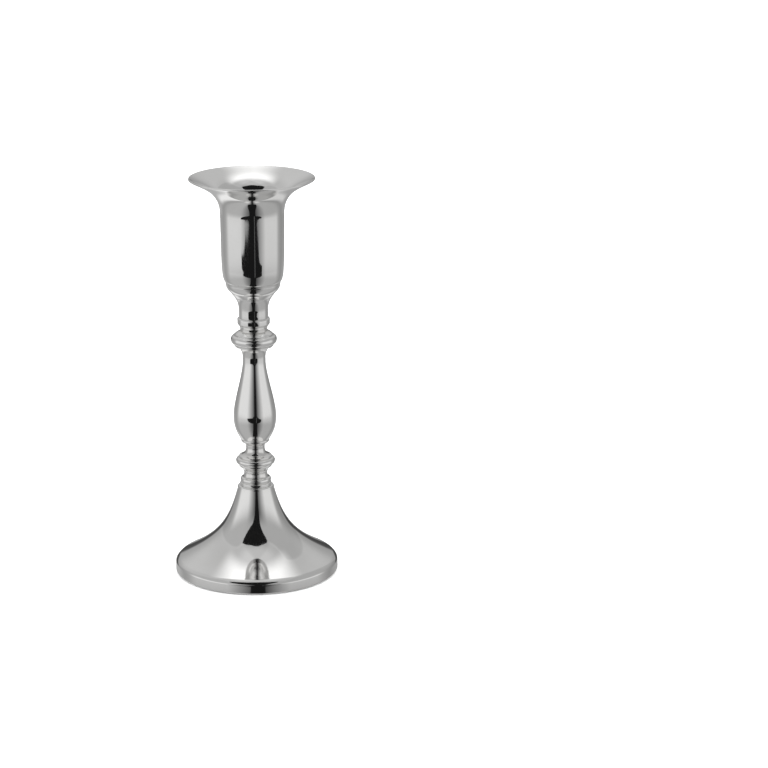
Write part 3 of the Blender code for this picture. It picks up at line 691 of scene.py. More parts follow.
def foot_line():
    """A short upright neck, the flare, and the shoulder."""
    neck = (crown_radius - 0.15, foot_top - foot_base - crown_rounding)
    flare_top = (crown_radius + 0.12, neck[1] - 1.3)
    straight_down = (neck[0], neck[1] - 0.5)
    into_flare = (flare_top[0] - 0.1, flare_top[1] + 0.4)
    flare_foot = (foot_radius - shoulder_inset, edge_height + shoulder_rise)
    line = [neck] + bend(neck, straight_down, into_flare, flare_top, 8)
    return line + foot_flare(flare_top, flare_foot) + foot_shoulder(flare_foot)


print(f"the foot's outside has {len(foot_line())} points before it is polished")


# %% The spun foot
def make_foot():
    height = foot_top - foot_base
    crown_edge = (crown_radius - crown_rounding, height)
    outer = foot_line()
    inner = [point for point in inset(outer, FOOT_SHEET) if point[1] < height - 2 * FOOT_SHEET]
    hem_inner = foot_radius - FOOT_SHEET
    outline = [(ROD_BORE, height), crown_edge]
    outline += quarter(crown_edge, outer[0], "across")
    outline += outer[1:]
    outline.append((foot_radius, hem_radius))
    outline += quarter((foot_radius, hem_radius), (foot_radius - hem_radius, 0), "down")
    outline += [(hem_inner, 0), (hem_inner, edge_height - FOOT_SHEET)]
    outline += inner[::-1]
    under_crown = height - FOOT_SHEET
    outline += [(crown_radius - FOOT_SHEET, under_crown), (ROD_BORE, under_crown)]
    foot = turned("spun_foot", outline, foot_base, polished_silver, WIDE_SIDES, rounding=0.12)
    return fitted(foot, "foot_shell")


foot = make_foot()

# %% [markdown]
# ## Stem
#
# Nine pieces are strung on the rod above the foot. Each is turned from solid bar and has its own
# job in the design: rings and beads catch the light, hollows let the eye rest, and the vase in the
# middle carries the height. Each outline starts at its top, runs down the outside and comes back
# up the bore, as a turner works.

# %% A turned moulding, and the two rings of the foot
SEAM = 0.29  # the frame leaves this much between two pieces; real ones bear on each other


def moulding(name, node, outer, inner=(), rounding=0.1):
    """Closes the seam below a piece, adds the rod's bore, and turns it."""
    outline = outer + [(outer[-1][0], -SEAM), (ROD_BORE, -SEAM), *inner, (ROD_BORE, outer[0][1])]
    piece = turned(name, outline, extent(node)[0], polished_silver, rounding=rounding)
    return fitted(piece, node)


def make_foot_collar():
    """A plain ring, a bead, a hollow and a small lip."""
    base, top, ring = extent("foot_collar")
    height = top - base
    ring_height, bead_height, bead = 1.1, 2.3, ring - 0.15
    waist, lip = 5.8, 6.1
    bead_foot = ring_height + 0.35
    bead_top = bead_foot + bead_height
    bead_middle = bead_foot + bead_height / 2
    seat = bead - 0.65
    outer = [(lip, height), (lip, height - 0.5), (waist, height - 0.9)]
    outer += quarter((waist, height - 0.9), (seat, bead_top), "down")
    outer += quarter((seat, bead_top), (bead, bead_middle), "across")
    outer += quarter((bead, bead_middle), (bead - 0.35, bead_foot), "down")
    outer += [(ring, ring_height), (ring, 0)]
    return moulding("turned_foot_collar", "foot_collar", outer)


def make_lower_knop():
    """A bevelled ring, the knop, a narrow ring, and a long hollow above them."""
    base, top, knop = extent("lower_knop")
    height = top - base
    foot, ring, waist = 6.25, 8.35, 4.7
    cove_top = height - 1.4
    seat = ring - 0.2
    outer = [(waist + 0.1, height), (waist, cove_top)]
    outer += quarter((waist, cove_top), (seat - 0.3, 7.3), "down", 20)
    outer += [(seat, 7.3), (seat, 6.5), (seat - 0.1, 6.3)]
    outer += quarter((seat - 0.1, 6.3), (knop, 4.6), "across")
    outer += quarter((knop, 4.6), (seat, 2.9), "down")
    outer += [(ring, 2.8), (ring, 2.1), (foot, 0)]
    return moulding("turned_lower_knop", "lower_knop", outer)


foot_collar = make_foot_collar()
lower_knop = make_lower_knop()


# %% [markdown]
# ## The vase
#
# The vase is the one long curve of the stem. Its side is a single bend from the slim neck to the
# belly, and the two handles say how long the line stays straight at each end. It is hollow: the
# cavity is the outside, moved in by the wall. A small ring under it lifts it off the knop.

# %% The vase and the ring that it stands on
def make_baluster_ring():
    base, top, ring = extent("baluster_ring")
    height = top - base
    foot = 4.95
    edge_foot = (ring, 1.9)
    outer = [(ring - 0.1, height), (ring, height - 0.3), edge_foot]
    outer += bend(edge_foot, (ring - 0.35, 1.2), (foot + 0.7, 0.55), (foot, 0), 12)
    return moulding("turned_baluster_ring", "baluster_ring", outer)


def baluster_line():
    """The outside of the vase: trumpet lip, slim neck, long shoulders and a full belly."""
    base, top, belly = extent("baluster")
    height = top - base
    lip, neck, foot = 9.3, 5.7, 7.2
    belly_rise = 11.4
    lip_foot = (lip, height - 0.5)
    neck_top = (neck, height - 6.0)
    neck_foot = (neck, height - 7.8)
    belly_top = (belly, belly_rise + 0.6)
    taper = neck_foot[1] - belly_top[1]
    neck_handle = (neck, neck_foot[1] - taper * 0.255)
    belly_handle = (belly, belly_top[1] + taper * 0.25)
    foot_handle = (foot + (belly - foot) * 0.7, belly_rise / 3)
    line = [(lip, height), lip_foot]
    line += quarter(lip_foot, neck_top, "across", 24)
    line += [neck_foot]
    line += bend(neck_foot, neck_handle, belly_handle, belly_top, 48)
    line += [(belly, belly_rise)]
    line += bend((belly, belly_rise), (belly, belly_rise * 0.62), foot_handle, (foot, 0), 28)
    return line


def make_baluster():
    """Cast hollow, to save silver and weight, with the rod's bore at both ends."""
    outer = baluster_line()
    height = outer[0][1]
    wall = 1.2
    hollow_top = height - 13
    cavity = [point for point in inset(outer, wall) if wall < point[1] < hollow_top]
    inner = [(ROD_BORE, wall)] + cavity[::-1] + [(ROD_BORE, hollow_top + 1)]
    return moulding("turned_baluster", "baluster", outer, inner)


baluster_ring = make_baluster_ring()
baluster = make_baluster()


# %% [markdown]
# ## Between the vase and the cup
#
# Five short pieces lead up to the cup: a knop, a sloping shoulder, a band, a column that opens
# like a trumpet, and a shallow bowl. Few corners are enough for such small mouldings, because the
# polishing turns each corner into a soft edge.

# %% The mouldings between the vase and the cup
def make_upper_knop():
    base, top, knop = extent("upper_knop")
    height = top - base
    seat = 9.75
    fillet = 0.7
    knop_top = height - 0.3
    middle = (fillet + knop_top) / 2
    outer = [(seat, height), (seat, knop_top)]
    outer += quarter((seat, knop_top), (knop, middle), "across")
    outer += quarter((knop, middle), (seat + 0.1, fillet), "down")
    outer.append((seat, 0))
    return moulding("turned_upper_knop", "upper_knop", outer)


def make_neck_base():
    base, top, foot = extent("neck_base")
    height = top - base
    waist = 6.75
    slope = (foot - waist) / 3
    outer = [(waist + 0.55, height), (waist, 3.3), (waist, 1.8)]
    shoulder = (waist + 0.1, 1.7)
    outer += bend(shoulder, (waist + slope, 1.3), (foot - slope * 0.8, 0.75), (foot, 0), 12)
    return moulding("turned_neck_base", "neck_base", outer)


def make_neck_ring():
    base, top, ring = extent("neck_ring")
    height = top - base
    bevel = 0.6
    outer = [(ring - bevel, height), (ring, height - bevel), (ring, bevel), (ring - bevel, 0)]
    return moulding("turned_neck_ring", "neck_ring", outer)


def make_neck():
    base, top, lip = extent("neck")
    height = top - base
    column = 7.25
    spread_out = lip - column
    lip_handle = (lip - spread_out * 0.6, height - 1.6)
    straight = (column, 3.4)
    outer = [(lip, height)]
    outer += bend((lip, height), lip_handle, (column, height * 0.62), straight, 24)
    outer.append((column, 0))
    return moulding("turned_neck", "neck", outer)


def make_calyx():
    base, top, edge = extent("calyx")
    height = top - base
    foot = 9.3
    slope = (edge - foot) / 3
    outer = [(edge - 0.05, height), (edge, height - 0.2)]
    outer += bend((edge, height - 0.2), (edge - slope * 0.8, 1.7), (foot + slope, 0.75), (foot, 0), 12)
    return moulding("turned_calyx", "calyx", outer)


upper_knop = make_upper_knop()
neck_base = make_neck_base()
neck_ring = make_neck_ring()
neck = make_neck()
calyx = make_calyx()

# %% [markdown]
# ## Cup
#
# The cup is spun like the foot, from thinner sheet. It stands on a ring that hides the nut under
# it. Inside it a second, straight cup holds the candle, and a flange closes the gap between the two.

# %% The cup ring
BOSS_HOLE = 4.9


def make_cup_ring():
    """Hollow underneath for the fibre washer and the nut, with a low lip that centres the cup."""
    base, top, ring = extent("cup_ring")
    height = top - base
    foot = 11.35
    slope = (ring - foot) / 3
    washer_room, washer_roof, nut_room, web = 10.45, 0.9, 6.22, 2.7
    lip_inside, lip_outside, lip_top = ring + 0.1, ring + 0.24, height + 0.3
    outer = [(lip_inside, lip_top), (lip_outside, lip_top), (lip_outside, height)]
    high, low = (ring + 0.2, height * 0.5), (foot + slope * 1.5, height * 0.16)
    outer += bend((lip_outside, height), high, low, (foot, -SEAM), 12)
    inner = [(washer_room, -SEAM), (washer_room, washer_roof)]
    inner += [(nut_room, washer_roof), (nut_room, web)]
    inner += [(BOSS_HOLE, web), (BOSS_HOLE, height), (lip_inside, height)]
    piece = turned("turned_cup_ring", outer + inner, base, polished_silver, rounding=0.1)
    return fitted(piece, "cup_ring")


cup_ring = make_cup_ring()

# %% The cup
CUP_SHEET = 0.9


def cup_line():
    """The outside, from the top: trumpet rim, a wall that narrows by a hair, a rounded bottom and
    a small step in to the ring."""
    rim = extent("candle_cup")[2]
    rim_height, rim_pull, rim_lean = 51.4, 7.2, math.radians(29)
    rim_edge = (rim, rim_height)
    rim_handle = (rim - math.cos(rim_lean) * rim_pull, rim_height - math.sin(rim_lean) * rim_pull)
    flare_handle, flare_foot = (15.88, 45.6), (15.68, 34.6)
    wall_foot, body_foot = (15.46, 16.0), (15.17, 7.6)
    body_end, step_in, bottom = (13.9, 1.1), (13.65, 0.95), (13.5, 0)
    line = [rim_edge]
    line += bend(rim_edge, rim_handle, flare_handle, flare_foot, 60)
    line += [wall_foot]
    line += bend(wall_foot, (15.42, 12.6), (15.34, 10.0), body_foot, 20)
    line += bend(body_foot, (15.1, 5.2), (14.7, 2.0), body_end, 24)
    return line + [step_in, bottom]


def rim_roll(inside, outside, steps=10):
    """A half round over the rim's edge, from its inner to its outer corner."""
    middle = (Vector(inside) + Vector(outside)) / 2
    reach = Vector(inside) - middle
    tip = Vector((-reach.y, reach.x)) * -1
    turns = [math.pi * step / steps for step in range(1, steps)]
    return [tuple(middle + reach * math.cos(turn) + tip * math.sin(turn)) for turn in turns]


def make_cup():
    """Spun from sheet: the inside is the outside moved in, and a half round joins them."""
    outer = cup_line()
    bottom = outer[-1][0]
    inner = [point for point in inset(outer, CUP_SHEET) if point[1] > 3 * CUP_SHEET]
    outer = rim_roll(inner[0], outer[0]) + outer
    outline = outer + [(bottom, -SEAM), (BOSS_HOLE, -SEAM), (BOSS_HOLE, CUP_SHEET)]
    outline += [(bottom - CUP_SHEET, CUP_SHEET)] + inner[::-1]
    base = extent("candle_cup")[0]
    piece = turned("spun_cup", outline, base, polished_silver, WIDE_SIDES, rounding=0.14)
    return fitted(piece, "candle_cup")


cup = make_cup()


# %% The candle socket
def make_socket():
    """Drawn like a tin, with a dimple that sinks the screw's head below the candle."""
    base, top, flange = extent("candle_socket")
    height = top - base
    bore, dimple, floor, hole = 11.2, 4.1, 3.7, 2.3
    wall = 0.9
    outline = [(flange, height - 0.2), (flange, height - wall), (bore + wall, height - wall)]
    outline += [(bore + wall, floor - wall), (dimple + wall, floor - wall), (dimple + wall, 0)]
    outline += [(hole, 0), (hole, wall), (dimple, wall), (dimple, floor), (bore, floor)]
    outline += [(bore, height - 0.6), (bore + 0.6, height)]
    piece = turned("drawn_candle_socket", outline, base, satin_silver, WIDE_SIDES, rounding=0.1)
    return fitted(piece, "candle_socket")


socket = make_socket()

# %% [markdown]
# ## Threads
#
# A screw thread is a rule: the radius depends on the height and the angle, and one turn moves the
# same pattern up by one pitch. The second tree builds a round bar that follows this rule, closed
# at both ends. The height it uses is the height on the object, so a nut's thread and the rod's
# thread are in step, and they stay in step when the nut turns and climbs.

# %% The thread tree
PITCH = 0.8
FLANK_SLOPE, FLANK_START = 2.9, -0.25  # steep enough to leave a flat at the crest and at the root


def build_thread():
    lengths = ("Base", "Length", "Pitch", "Crest", "Root")
    sizes = {length: "Float" for length in lengths} | {"Sides": "Int", "Rows": "Int"}
    tree, given = new_geometry_tree("thread", sizes | {"Material": "Material"})
    columns = add(tree, "FunctionNodeIntegerMath", {0: given["Sides"], 1: 1}, operation="ADD")
    grid = add(
        tree,
        "GeometryNodeMeshGrid",
        {"Size X": 1.0, "Size Y": 1.0, "Vertices X": columns.outputs[0], "Vertices Y": given["Rows"]},
    )
    index = add(tree, "GeometryNodeInputIndex").outputs[0]
    split = {0: index, 1: given["Rows"]}
    column = add(tree, "FunctionNodeIntegerMath", split, operation="DIVIDE_FLOOR").outputs[0]
    row = add(tree, "FunctionNodeIntegerMath", split, operation="MODULO").outputs[0]
    last = compute(tree, "SUBTRACT", given["Rows"], 1)

    side_row = compute(tree, "SUBTRACT", row, 1)
    share = compute(tree, "DIVIDE", side_row, compute(tree, "SUBTRACT", last, 2))
    within = add(tree, "ShaderNodeClamp", {0: share}).outputs[0]
    up = compute(tree, "MULTIPLY", within, given["Length"])
    down = compute(tree, "SUBTRACT", given["Length"], up)
    height = compute(tree, "ADD", given["Base"], up)
    turn = compute(tree, "DIVIDE", column, given["Sides"])
    phase = compute(tree, "SUBTRACT", compute(tree, "DIVIDE", height, given["Pitch"]), turn)
    wave = compute(tree, "PINGPONG", phase, 0.5)
    rise = compute(tree, "MULTIPLY_ADD", wave, FLANK_SLOPE, FLANK_START)
    flank = add(tree, "ShaderNodeClamp", {0: rise})
    depth = compute(tree, "SUBTRACT", given["Crest"], given["Root"])
    radius = compute(tree, "MULTIPLY_ADD", flank.outputs[0], depth, given["Root"])
    nearest_end = compute(tree, "MINIMUM", up, down)
    radius = compute(tree, "MINIMUM", radius, compute(tree, "ADD", given["Root"], nearest_end))
    inside = compute(
        tree,
        "MULTIPLY",
        compute(tree, "GREATER_THAN", row, 0.5),
        compute(tree, "LESS_THAN", row, compute(tree, "SUBTRACT", last, 0.5)),
    )
    radius = compute(tree, "MULTIPLY", radius, inside)
    upright = add(tree, "ShaderNodeCombineXYZ", {"X": radius, "Z": height}).outputs[0]
    around = add(
        tree,
        "ShaderNodeVectorRotate",
        {"Vector": upright, "Angle": compute(tree, "MULTIPLY", turn, math.tau)},
        rotation_type="Z_AXIS",
    )
    placed = add(
        tree, "GeometryNodeSetPosition", {"Geometry": grid.outputs[0], "Position": around.outputs[0]}
    )
    closed = add(
        tree, "GeometryNodeMergeByDistance", {"Geometry": placed.outputs[0], "Distance": WELD}
    )
    end_tree(tree, closed.outputs[0], given["Material"])
    return tree


thread = build_thread()
print(f"thread: {len(thread.nodes)} nodes")


# %% A threaded bar
def threaded(name, base, top, crest, root, material, sides=24, rows_per_turn=7):
    """A threaded bar between two heights, in millimetres."""
    length = top - base
    values = {
        "Base": base * MM,
        "Length": length * MM,
        "Pitch": PITCH * MM,
        "Crest": crest * MM,
        "Root": root * MM,
        "Sides": sides,
        "Rows": int(length / PITCH * rows_per_turn) + 3,
        "Material": material,
    }
    return smooth_shaded(run_tree(new_piece(name), thread, values), 60)


print(f"the cup climbs {PITCH} mm in a turn")

# %% [markdown]
# ## Fasteners
#
# The rod is plain threaded bar. Nuts are hexagons whose corners are turned off to a cone on both
# sides, which is what draws the curved edges on a real nut, and their thread is cut by a bar a
# little thicker than the rod. Boolean modifiers do the cutting, as a tap and a chamfer tool would.

# %% Cutting helpers and the rod
ROD_ROOT = 1.98
TAP_CREST = ROD_BORE - 0.02  # a tap is a little thicker than the rod, so that the thread runs free
TAP_ROOT = 2.58


def cut(piece, cutter, operation):
    """Applies a Boolean and throws the cutter away."""
    modifier = piece.modifiers.new(operation, "BOOLEAN")
    modifier.operation = operation
    modifier.solver = "EXACT"
    modifier.object = cutter
    graph = bpy.context.evaluated_depsgraph_get()
    piece.data = bpy.data.meshes.new_from_object(piece.evaluated_get(graph))
    piece.data.name = piece.name
    piece.modifiers.clear()
    bpy.data.objects.remove(cutter)
    return piece


def crisp(piece, angle=35):
    piece.data.shade_smooth()
    piece.data.set_sharp_from_angle(angle=math.radians(angle))
    return piece


rod_base, rod_top, rod_radius = extent("tie_rod")
rod = threaded("threaded_tie_rod", rod_base, rod_top, rod_radius, ROD_ROOT, steel, 20, 6)
fitted(rod, "tie_rod")


# %% Nuts
HALF_CORNER = math.radians(30)
CHAMFER = math.radians(30)


def make_nut(name, node):
    """A hexagon, less what lies outside a double cone, less the tap."""
    base, top, _ = extent(node)
    height = top - base
    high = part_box(node)[1]
    flats = min(high.x, high.y) / MM
    corner = flats / math.cos(HALF_CORNER)
    form = bmesh.new()
    bmesh.ops.create_cone(
        form,
        cap_ends=True,
        segments=6,
        radius1=corner * MM,
        radius2=corner * MM,
        depth=height * MM,
    )
    bmesh.ops.translate(form, vec=(0, 0, (base + height / 2) * MM), verts=form.verts)
    nut = new_piece(name)
    form.to_mesh(nut.data)
    form.free()
    nut.data.materials.append(steel)

    face = flats - 0.05
    side = corner + 0.2
    slope = (side - face) * math.tan(CHAMFER)
    cone = [(0, height), (face, height), (side, height - slope), (side, slope), (face, 0), (0, 0)]
    cut(nut, turned(f"{name} cone", cone, base, steel, SMALL_SIDES, rounding=0.05), "INTERSECT")
    tap = threaded(f"{name} tap", base - 1, top + 1, TAP_CREST, TAP_ROOT, steel)
    cut(nut, tap, "DIFFERENCE")
    return fitted(crisp(nut), node)


base_nut = make_nut("base_hex_nut", "base_nut")
lock_nut = make_nut("stem_hex_nut", "stem_lock_nut")


# %% [markdown]
# ## Washers
#
# A flat washer is turned like any other ring. The spring washer is the same outline, turned not
# quite all the way round and climbing a little as it goes, so that its two ends stand apart and
# bite into the nut. The fibre washer keeps the cup from grinding on the stem.

# %% Washers
def washer(name, node, bore, material, slot, gap=0, climb=0):
    """A flat ring with soft edges, or with a gap the spring washer that bites into the nut."""
    base, top, edge = extent(node)
    height = top - base - climb
    outline = [(edge, height), (edge, 0), (bore, 0), (bore, height)]
    made = turned(name, outline, base, material, SMALL_SIDES, rounding=0.06, gap=gap, climb=climb)
    return fitted(made, node)


SPLIT = 1.0
split_radius = (extent("base_lock_washer")[2] + ROD_BORE) / 2
split_angle = 2 * math.degrees(math.asin(SPLIT / 2 / split_radius))
spring = {"gap": split_angle, "climb": 0.3}
spring_washer = washer("spring_washer", "base_lock_washer", ROD_BORE, steel, "steel", **spring)
plain_washer = washer("plain_washer", "base_washer", ROD_BORE, steel, "steel")
fibre_bore = extent("stem_lock_nut")[2] + 2.1
fibre_washer = washer("fibre_washer", "cup_washer", fibre_bore, fibre, "fibre")


# %% [markdown]
# ## Inside the cup
#
# A brass boss passes through the cup's bottom. The rod screws into it from below, and a slotted
# screw from above holds the candle socket down.

# %% The boss
SCREW_CREST, SCREW_ROOT = 2.0, 1.7
SCREW_TAP_CREST, SCREW_TAP_ROOT = 2.28, 2.08
SCREW_REACH = 2.2  # how deep the screw's hole is


def make_boss():
    base, top, flange = extent("cup_boss")
    height = top - base
    flange_foot, flange_top, neck_radius = 2.5, 4.1, 4.6
    outline = [(0, height), (neck_radius, height), (neck_radius, flange_top), (flange, flange_top)]
    outline += [(flange, flange_foot), (neck_radius, flange_foot), (neck_radius, 0), (0, 0)]
    boss = turned("brass_cup_boss", outline, base, brass, SMALL_SIDES, rounding=0.12)
    screw_hole = top - SCREW_REACH
    rod_tap = threaded("boss tap", base - 1, screw_hole, TAP_CREST, TAP_ROOT, brass)
    cut(boss, rod_tap, "DIFFERENCE")
    taps = (SCREW_TAP_CREST, SCREW_TAP_ROOT)
    cut(boss, threaded("screw tap", screw_hole - 0.1, top + 1, *taps, brass), "DIFFERENCE")
    return fitted(crisp(boss, 40), "cup_boss")


boss = make_boss()

# %% The socket's screw
HEAD_HEIGHT = 2.2
SLOT_WIDTH, SLOT_DEPTH = 1.0, 1.1


def make_screw():
    """A cheese head with a sawn slot, on a threaded shank."""
    base, top, head = extent("socket_screw")
    shank_top = top - HEAD_HEIGHT
    height = top - shank_top
    outline = [(0, height), (head - 0.3, height), (head, height - 0.3), (head, 0), (0, 0)]
    screw = turned("slotted_socket_screw", outline, shank_top, steel, SMALL_SIDES, rounding=0.08)
    crest, root = SCREW_CREST, SCREW_ROOT
    shank = threaded("screw shank", base, shank_top + 0.5, crest, root, steel, 24, 8)
    cut(screw, shank, "UNION")
    slot = new_piece("slot")
    form = bmesh.new()
    bmesh.ops.create_cube(form, size=1)
    saw = (3 * head * MM, SLOT_WIDTH * MM, 2 * SLOT_DEPTH * MM)
    bmesh.ops.scale(form, vec=saw, verts=form.verts)
    bmesh.ops.translate(form, vec=(0, 0, top * MM), verts=form.verts)
    form.to_mesh(slot.data)
    form.free()
    slot.data.materials.append(steel)
    cut(screw, slot, "DIFFERENCE")
    return fitted(crisp(screw), "socket_screw")


screw = make_screw()

# %% [markdown]
# ## Under the foot
#
# The foot is closed by a pressed steel plate, whose dished middle hides the nut. A cast-iron ring
# above it gives the candlestick its low weight, and a disc of wool felt is glued on underneath so
# that nothing scratches the table.

# %% The base cover
def make_base_cover():
    base, top, edge = extent("base_cover")
    sheet = 0.8
    height = top - base
    flange, recess = 3.1, extent("base_nut")[2] + 2.6
    outline = [(ROD_BORE, height), (recess + sheet, height), (recess + sheet, sheet)]
    outline += [(edge - sheet, sheet), (edge - sheet, flange), (edge, flange), (edge, 0)]
    outline += [(recess, 0), (recess, height - sheet), (ROD_BORE, height - sheet)]
    cover = turned("pressed_base_cover", outline, base, steel, WIDE_SIDES, rounding=0.14)
    return fitted(cover, "base_cover")


base_cover = make_base_cover()

# %% The ballast
CASTING_GRAIN = 0.12


def make_ballast():
    """The casting's skin: every point is pushed in a little by noise."""
    base, top, edge = extent("ballast_ring")
    height = top - base
    bore = extent("base_nut")[2] + 4.2
    flange_top = 2.3
    room = FOOT_SHEET + 0.4
    lift = foot_base - base
    under_foot = [(radius, rise + lift) for radius, rise in inset(foot_line(), room)]
    flare = [point for point in under_foot if flange_top < point[1] < height]
    outline = [(bore, height), (flare[0][0], height)] + flare
    outline += [(edge, flange_top), (edge, 0), (bore, 0)]
    ballast = turned("cast_ballast_ring", outline, base, cast_iron, WIDE_SIDES, rounding=0.5)
    places = [vertex.co.copy() for vertex in ballast.data.vertices]
    normals = [Vector(normal.vector) for normal in ballast.data.vertex_normals]
    for vertex, place, normal in zip(ballast.data.vertices, places, normals):
        grain = noise.fractal(place * 900, 1.0, 2.0, 4)
        vertex.co = place - normal * abs(grain) * CASTING_GRAIN * MM
    return fitted(ballast, "ballast_ring")


ballast = make_ballast()

# %% [markdown]
# ## Felt
#
# A felt disc is cut with a punch, so its edge is upright and a little furry. The third tree grows
# short hairs out of that edge. Its random numbers have a fixed seed, so the same hairs grow each
# time the script runs.

# %% The hairs
def build_fuzz():
    sizes = {"Felt": "Geometry", "Density": "Float", "Length": "Float", "Seed": "Int"}
    tree, given = new_geometry_tree("fuzz", sizes | {"Material": "Material"})
    normal = add(tree, "GeometryNodeInputNormal").outputs[0]
    upright = add(tree, "ShaderNodeSeparateXYZ", {0: normal}).outputs["Z"]
    sideways = add(
        tree, "FunctionNodeCompare", {"A": compute(tree, "ABSOLUTE", upright), "B": 0.5},
        operation="LESS_THAN",
    )
    points = add(
        tree,
        "GeometryNodeDistributePointsOnFaces",
        {
            "Mesh": given["Felt"],
            "Selection": sideways.outputs[0],
            "Density": given["Density"],
            "Seed": given["Seed"],
        },
    )
    lean = add(
        tree,
        "FunctionNodeRandomValue",
        {0: (-0.9, -0.9, -0.9), 1: (0.9, 0.9, 0.9), "Seed": given["Seed"]},
        data_type="FLOAT_VECTOR",
    )
    tip = add(tree, "ShaderNodeVectorMath", {0: points.outputs["Normal"], 1: lean.outputs[0]})
    aim = add(tree, "FunctionNodeAlignRotationToVector", {"Vector": tip.outputs[0]}, axis="Z")
    size = add(
        tree, "FunctionNodeRandomValue", {2: 0.4, 3: 1.0, "Seed": given["Seed"]}, data_type="FLOAT"
    )
    hair = add(
        tree,
        "GeometryNodeMeshCone",
        {"Vertices": 3, "Side Segments": 2, "Radius Top": 0.000004, "Radius Bottom": 0.00002},
    )
    tree.links.new(given["Length"], hair.inputs["Depth"])
    grown = add(
        tree,
        "GeometryNodeInstanceOnPoints",
        {
            "Points": points.outputs["Points"],
            "Instance": hair.outputs["Mesh"],
            "Rotation": aim.outputs[0],
            "Scale": size.outputs[1],
        },
    )
    both = add(tree, "GeometryNodeJoinGeometry")
    tree.links.new(given["Felt"], both.inputs[0])
    tree.links.new(grown.outputs[0], both.inputs[0])
    end_tree(tree, both.outputs[0], given["Material"])
    return tree


fuzz = build_fuzz()
print(f"fuzz: {len(fuzz.nodes)} nodes")


# %% The felt disc
def make_felt():
    base, top, edge = extent("felt_pad")
    height = top - base
    outline = [(0, height), (edge, height), (edge, 0), (0, 0)]
    disc = turned("felt_disc", outline, base, felt, WIDE_SIDES, rounding=0.3)
    values = {"Density": 3.0e6, "Length": 0.0006, "Seed": 7, "Material": felt}
    run_tree(disc, fuzz, values)
    return fitted(disc, "felt_pad")


felt_disc = make_felt()

# %% [markdown]
# ## Floor
#
# The floor is one plain pale sheet. The camera and the soft light see it, but the metal doesn't,
# because a white sheet in bright metal would wipe out its shape. It lies a little under the felt,
# so that the two don't share a plane, and it is clear from below, for a look at the underside.

# %% Floor
FLOOR_SIZE = 16
FLOOR_DROP = 0.0002


def staged(piece, camera=False, glossy=True, diffuse=False, shadow=False):
    """Says which rays may see a piece that is not part of the object."""
    piece.visible_camera = camera
    piece.visible_glossy = glossy
    piece.visible_diffuse = diffuse
    piece.visible_shadow = shadow
    return piece


def plain_sheet(name, size, material):
    form = bmesh.new()
    bmesh.ops.create_grid(form, x_segments=1, y_segments=1, size=size / 2)
    piece = new_piece(name)
    form.to_mesh(piece.data)
    form.free()
    piece.data.materials.append(material)
    return piece


def one_sided(material, tree, shader):
    """Lets a view from below through."""
    back = add(tree, "ShaderNodeNewGeometry").outputs["Backfacing"]
    clear = add(tree, "ShaderNodeBsdfTransparent").outputs[0]
    mixed = add(tree, "ShaderNodeMixShader", {0: back, 1: shader.outputs[0], 2: clear})
    tree.links.new(mixed.outputs[0], tree.nodes["Material Output"].inputs["Surface"])
    return material


paper = one_sided(*new_material("white paper", (0.93, 0.93, 0.93), 0.0, {"Roughness": 0.9}))
floor = staged(plain_sheet("floor", FLOOR_SIZE, paper), camera=True, glossy=False, diffuse=True)
floor.location.z = -FLOOR_DROP
print(f"the floor is {FLOOR_SIZE} m wide, {FLOOR_DROP / MM} mm under the felt")

# %% [markdown]
# ## A light tent
#
# Bright metal has no look of its own: it shows what stands around it. Silver is therefore set in a
# tent of pale cloth with a dark opening in front, and the dark opening draws the line down the
# stem and the wedge on the foot. This tent is a sphere that only reflections can see. Each of its
# points holds its own brightness, worked out from its direction, so that lit and shaded parts of
# the cloth run softly into each other.

# %% Directions and soft steps
TENT_RADIUS = 4.0
TENT_MIDDLE = 0.10  # the height that all the directions are measured from


def direction(azimuth, elevation):
    """A direction from two angles in degrees. Azimuth 0 is the camera's side, and positive is to
    its right."""
    around = math.radians(azimuth)
    rise = math.radians(elevation)
    across = math.cos(rise)
    return Vector((math.sin(around) * across, -math.cos(around) * across, math.sin(rise)))


def soft(value, start, end):
    """0 up to the start, 1 from the end on, and a soft change between them."""
    share = min(max((value - start) / (end - start), 0), 1)
    return share * share * (3 - 2 * share)


def bump(value, middle, reach):
    return 1 - soft(abs(value - middle), 0, reach)


print(f"halfway through a soft step: {soft(0.5, 0, 1)}")

# %% How bright the cloth is
CLOTH = 0.405  # plain cloth; 1 is white on the screen
# DARK is also the brightness of the painted shade and painted shadow cards in front
DARK = 0.009  # what lies outside the tent
SLIT_MIDDLE = 3
SLIT_HALF, SLIT_FADE = 3.5, 41  # the dark slit, and how far its shade reaches to each side
SEAM_HEIGHT = 61


def wall_top(azimuth):
    """Elevation of the seam between a side wall of the tent and its roof. It comes down behind."""
    comes_down = (118, 158) if azimuth > 0 else (78, 160)
    return SEAM_HEIGHT * (1 - soft(abs(azimuth), *comes_down))


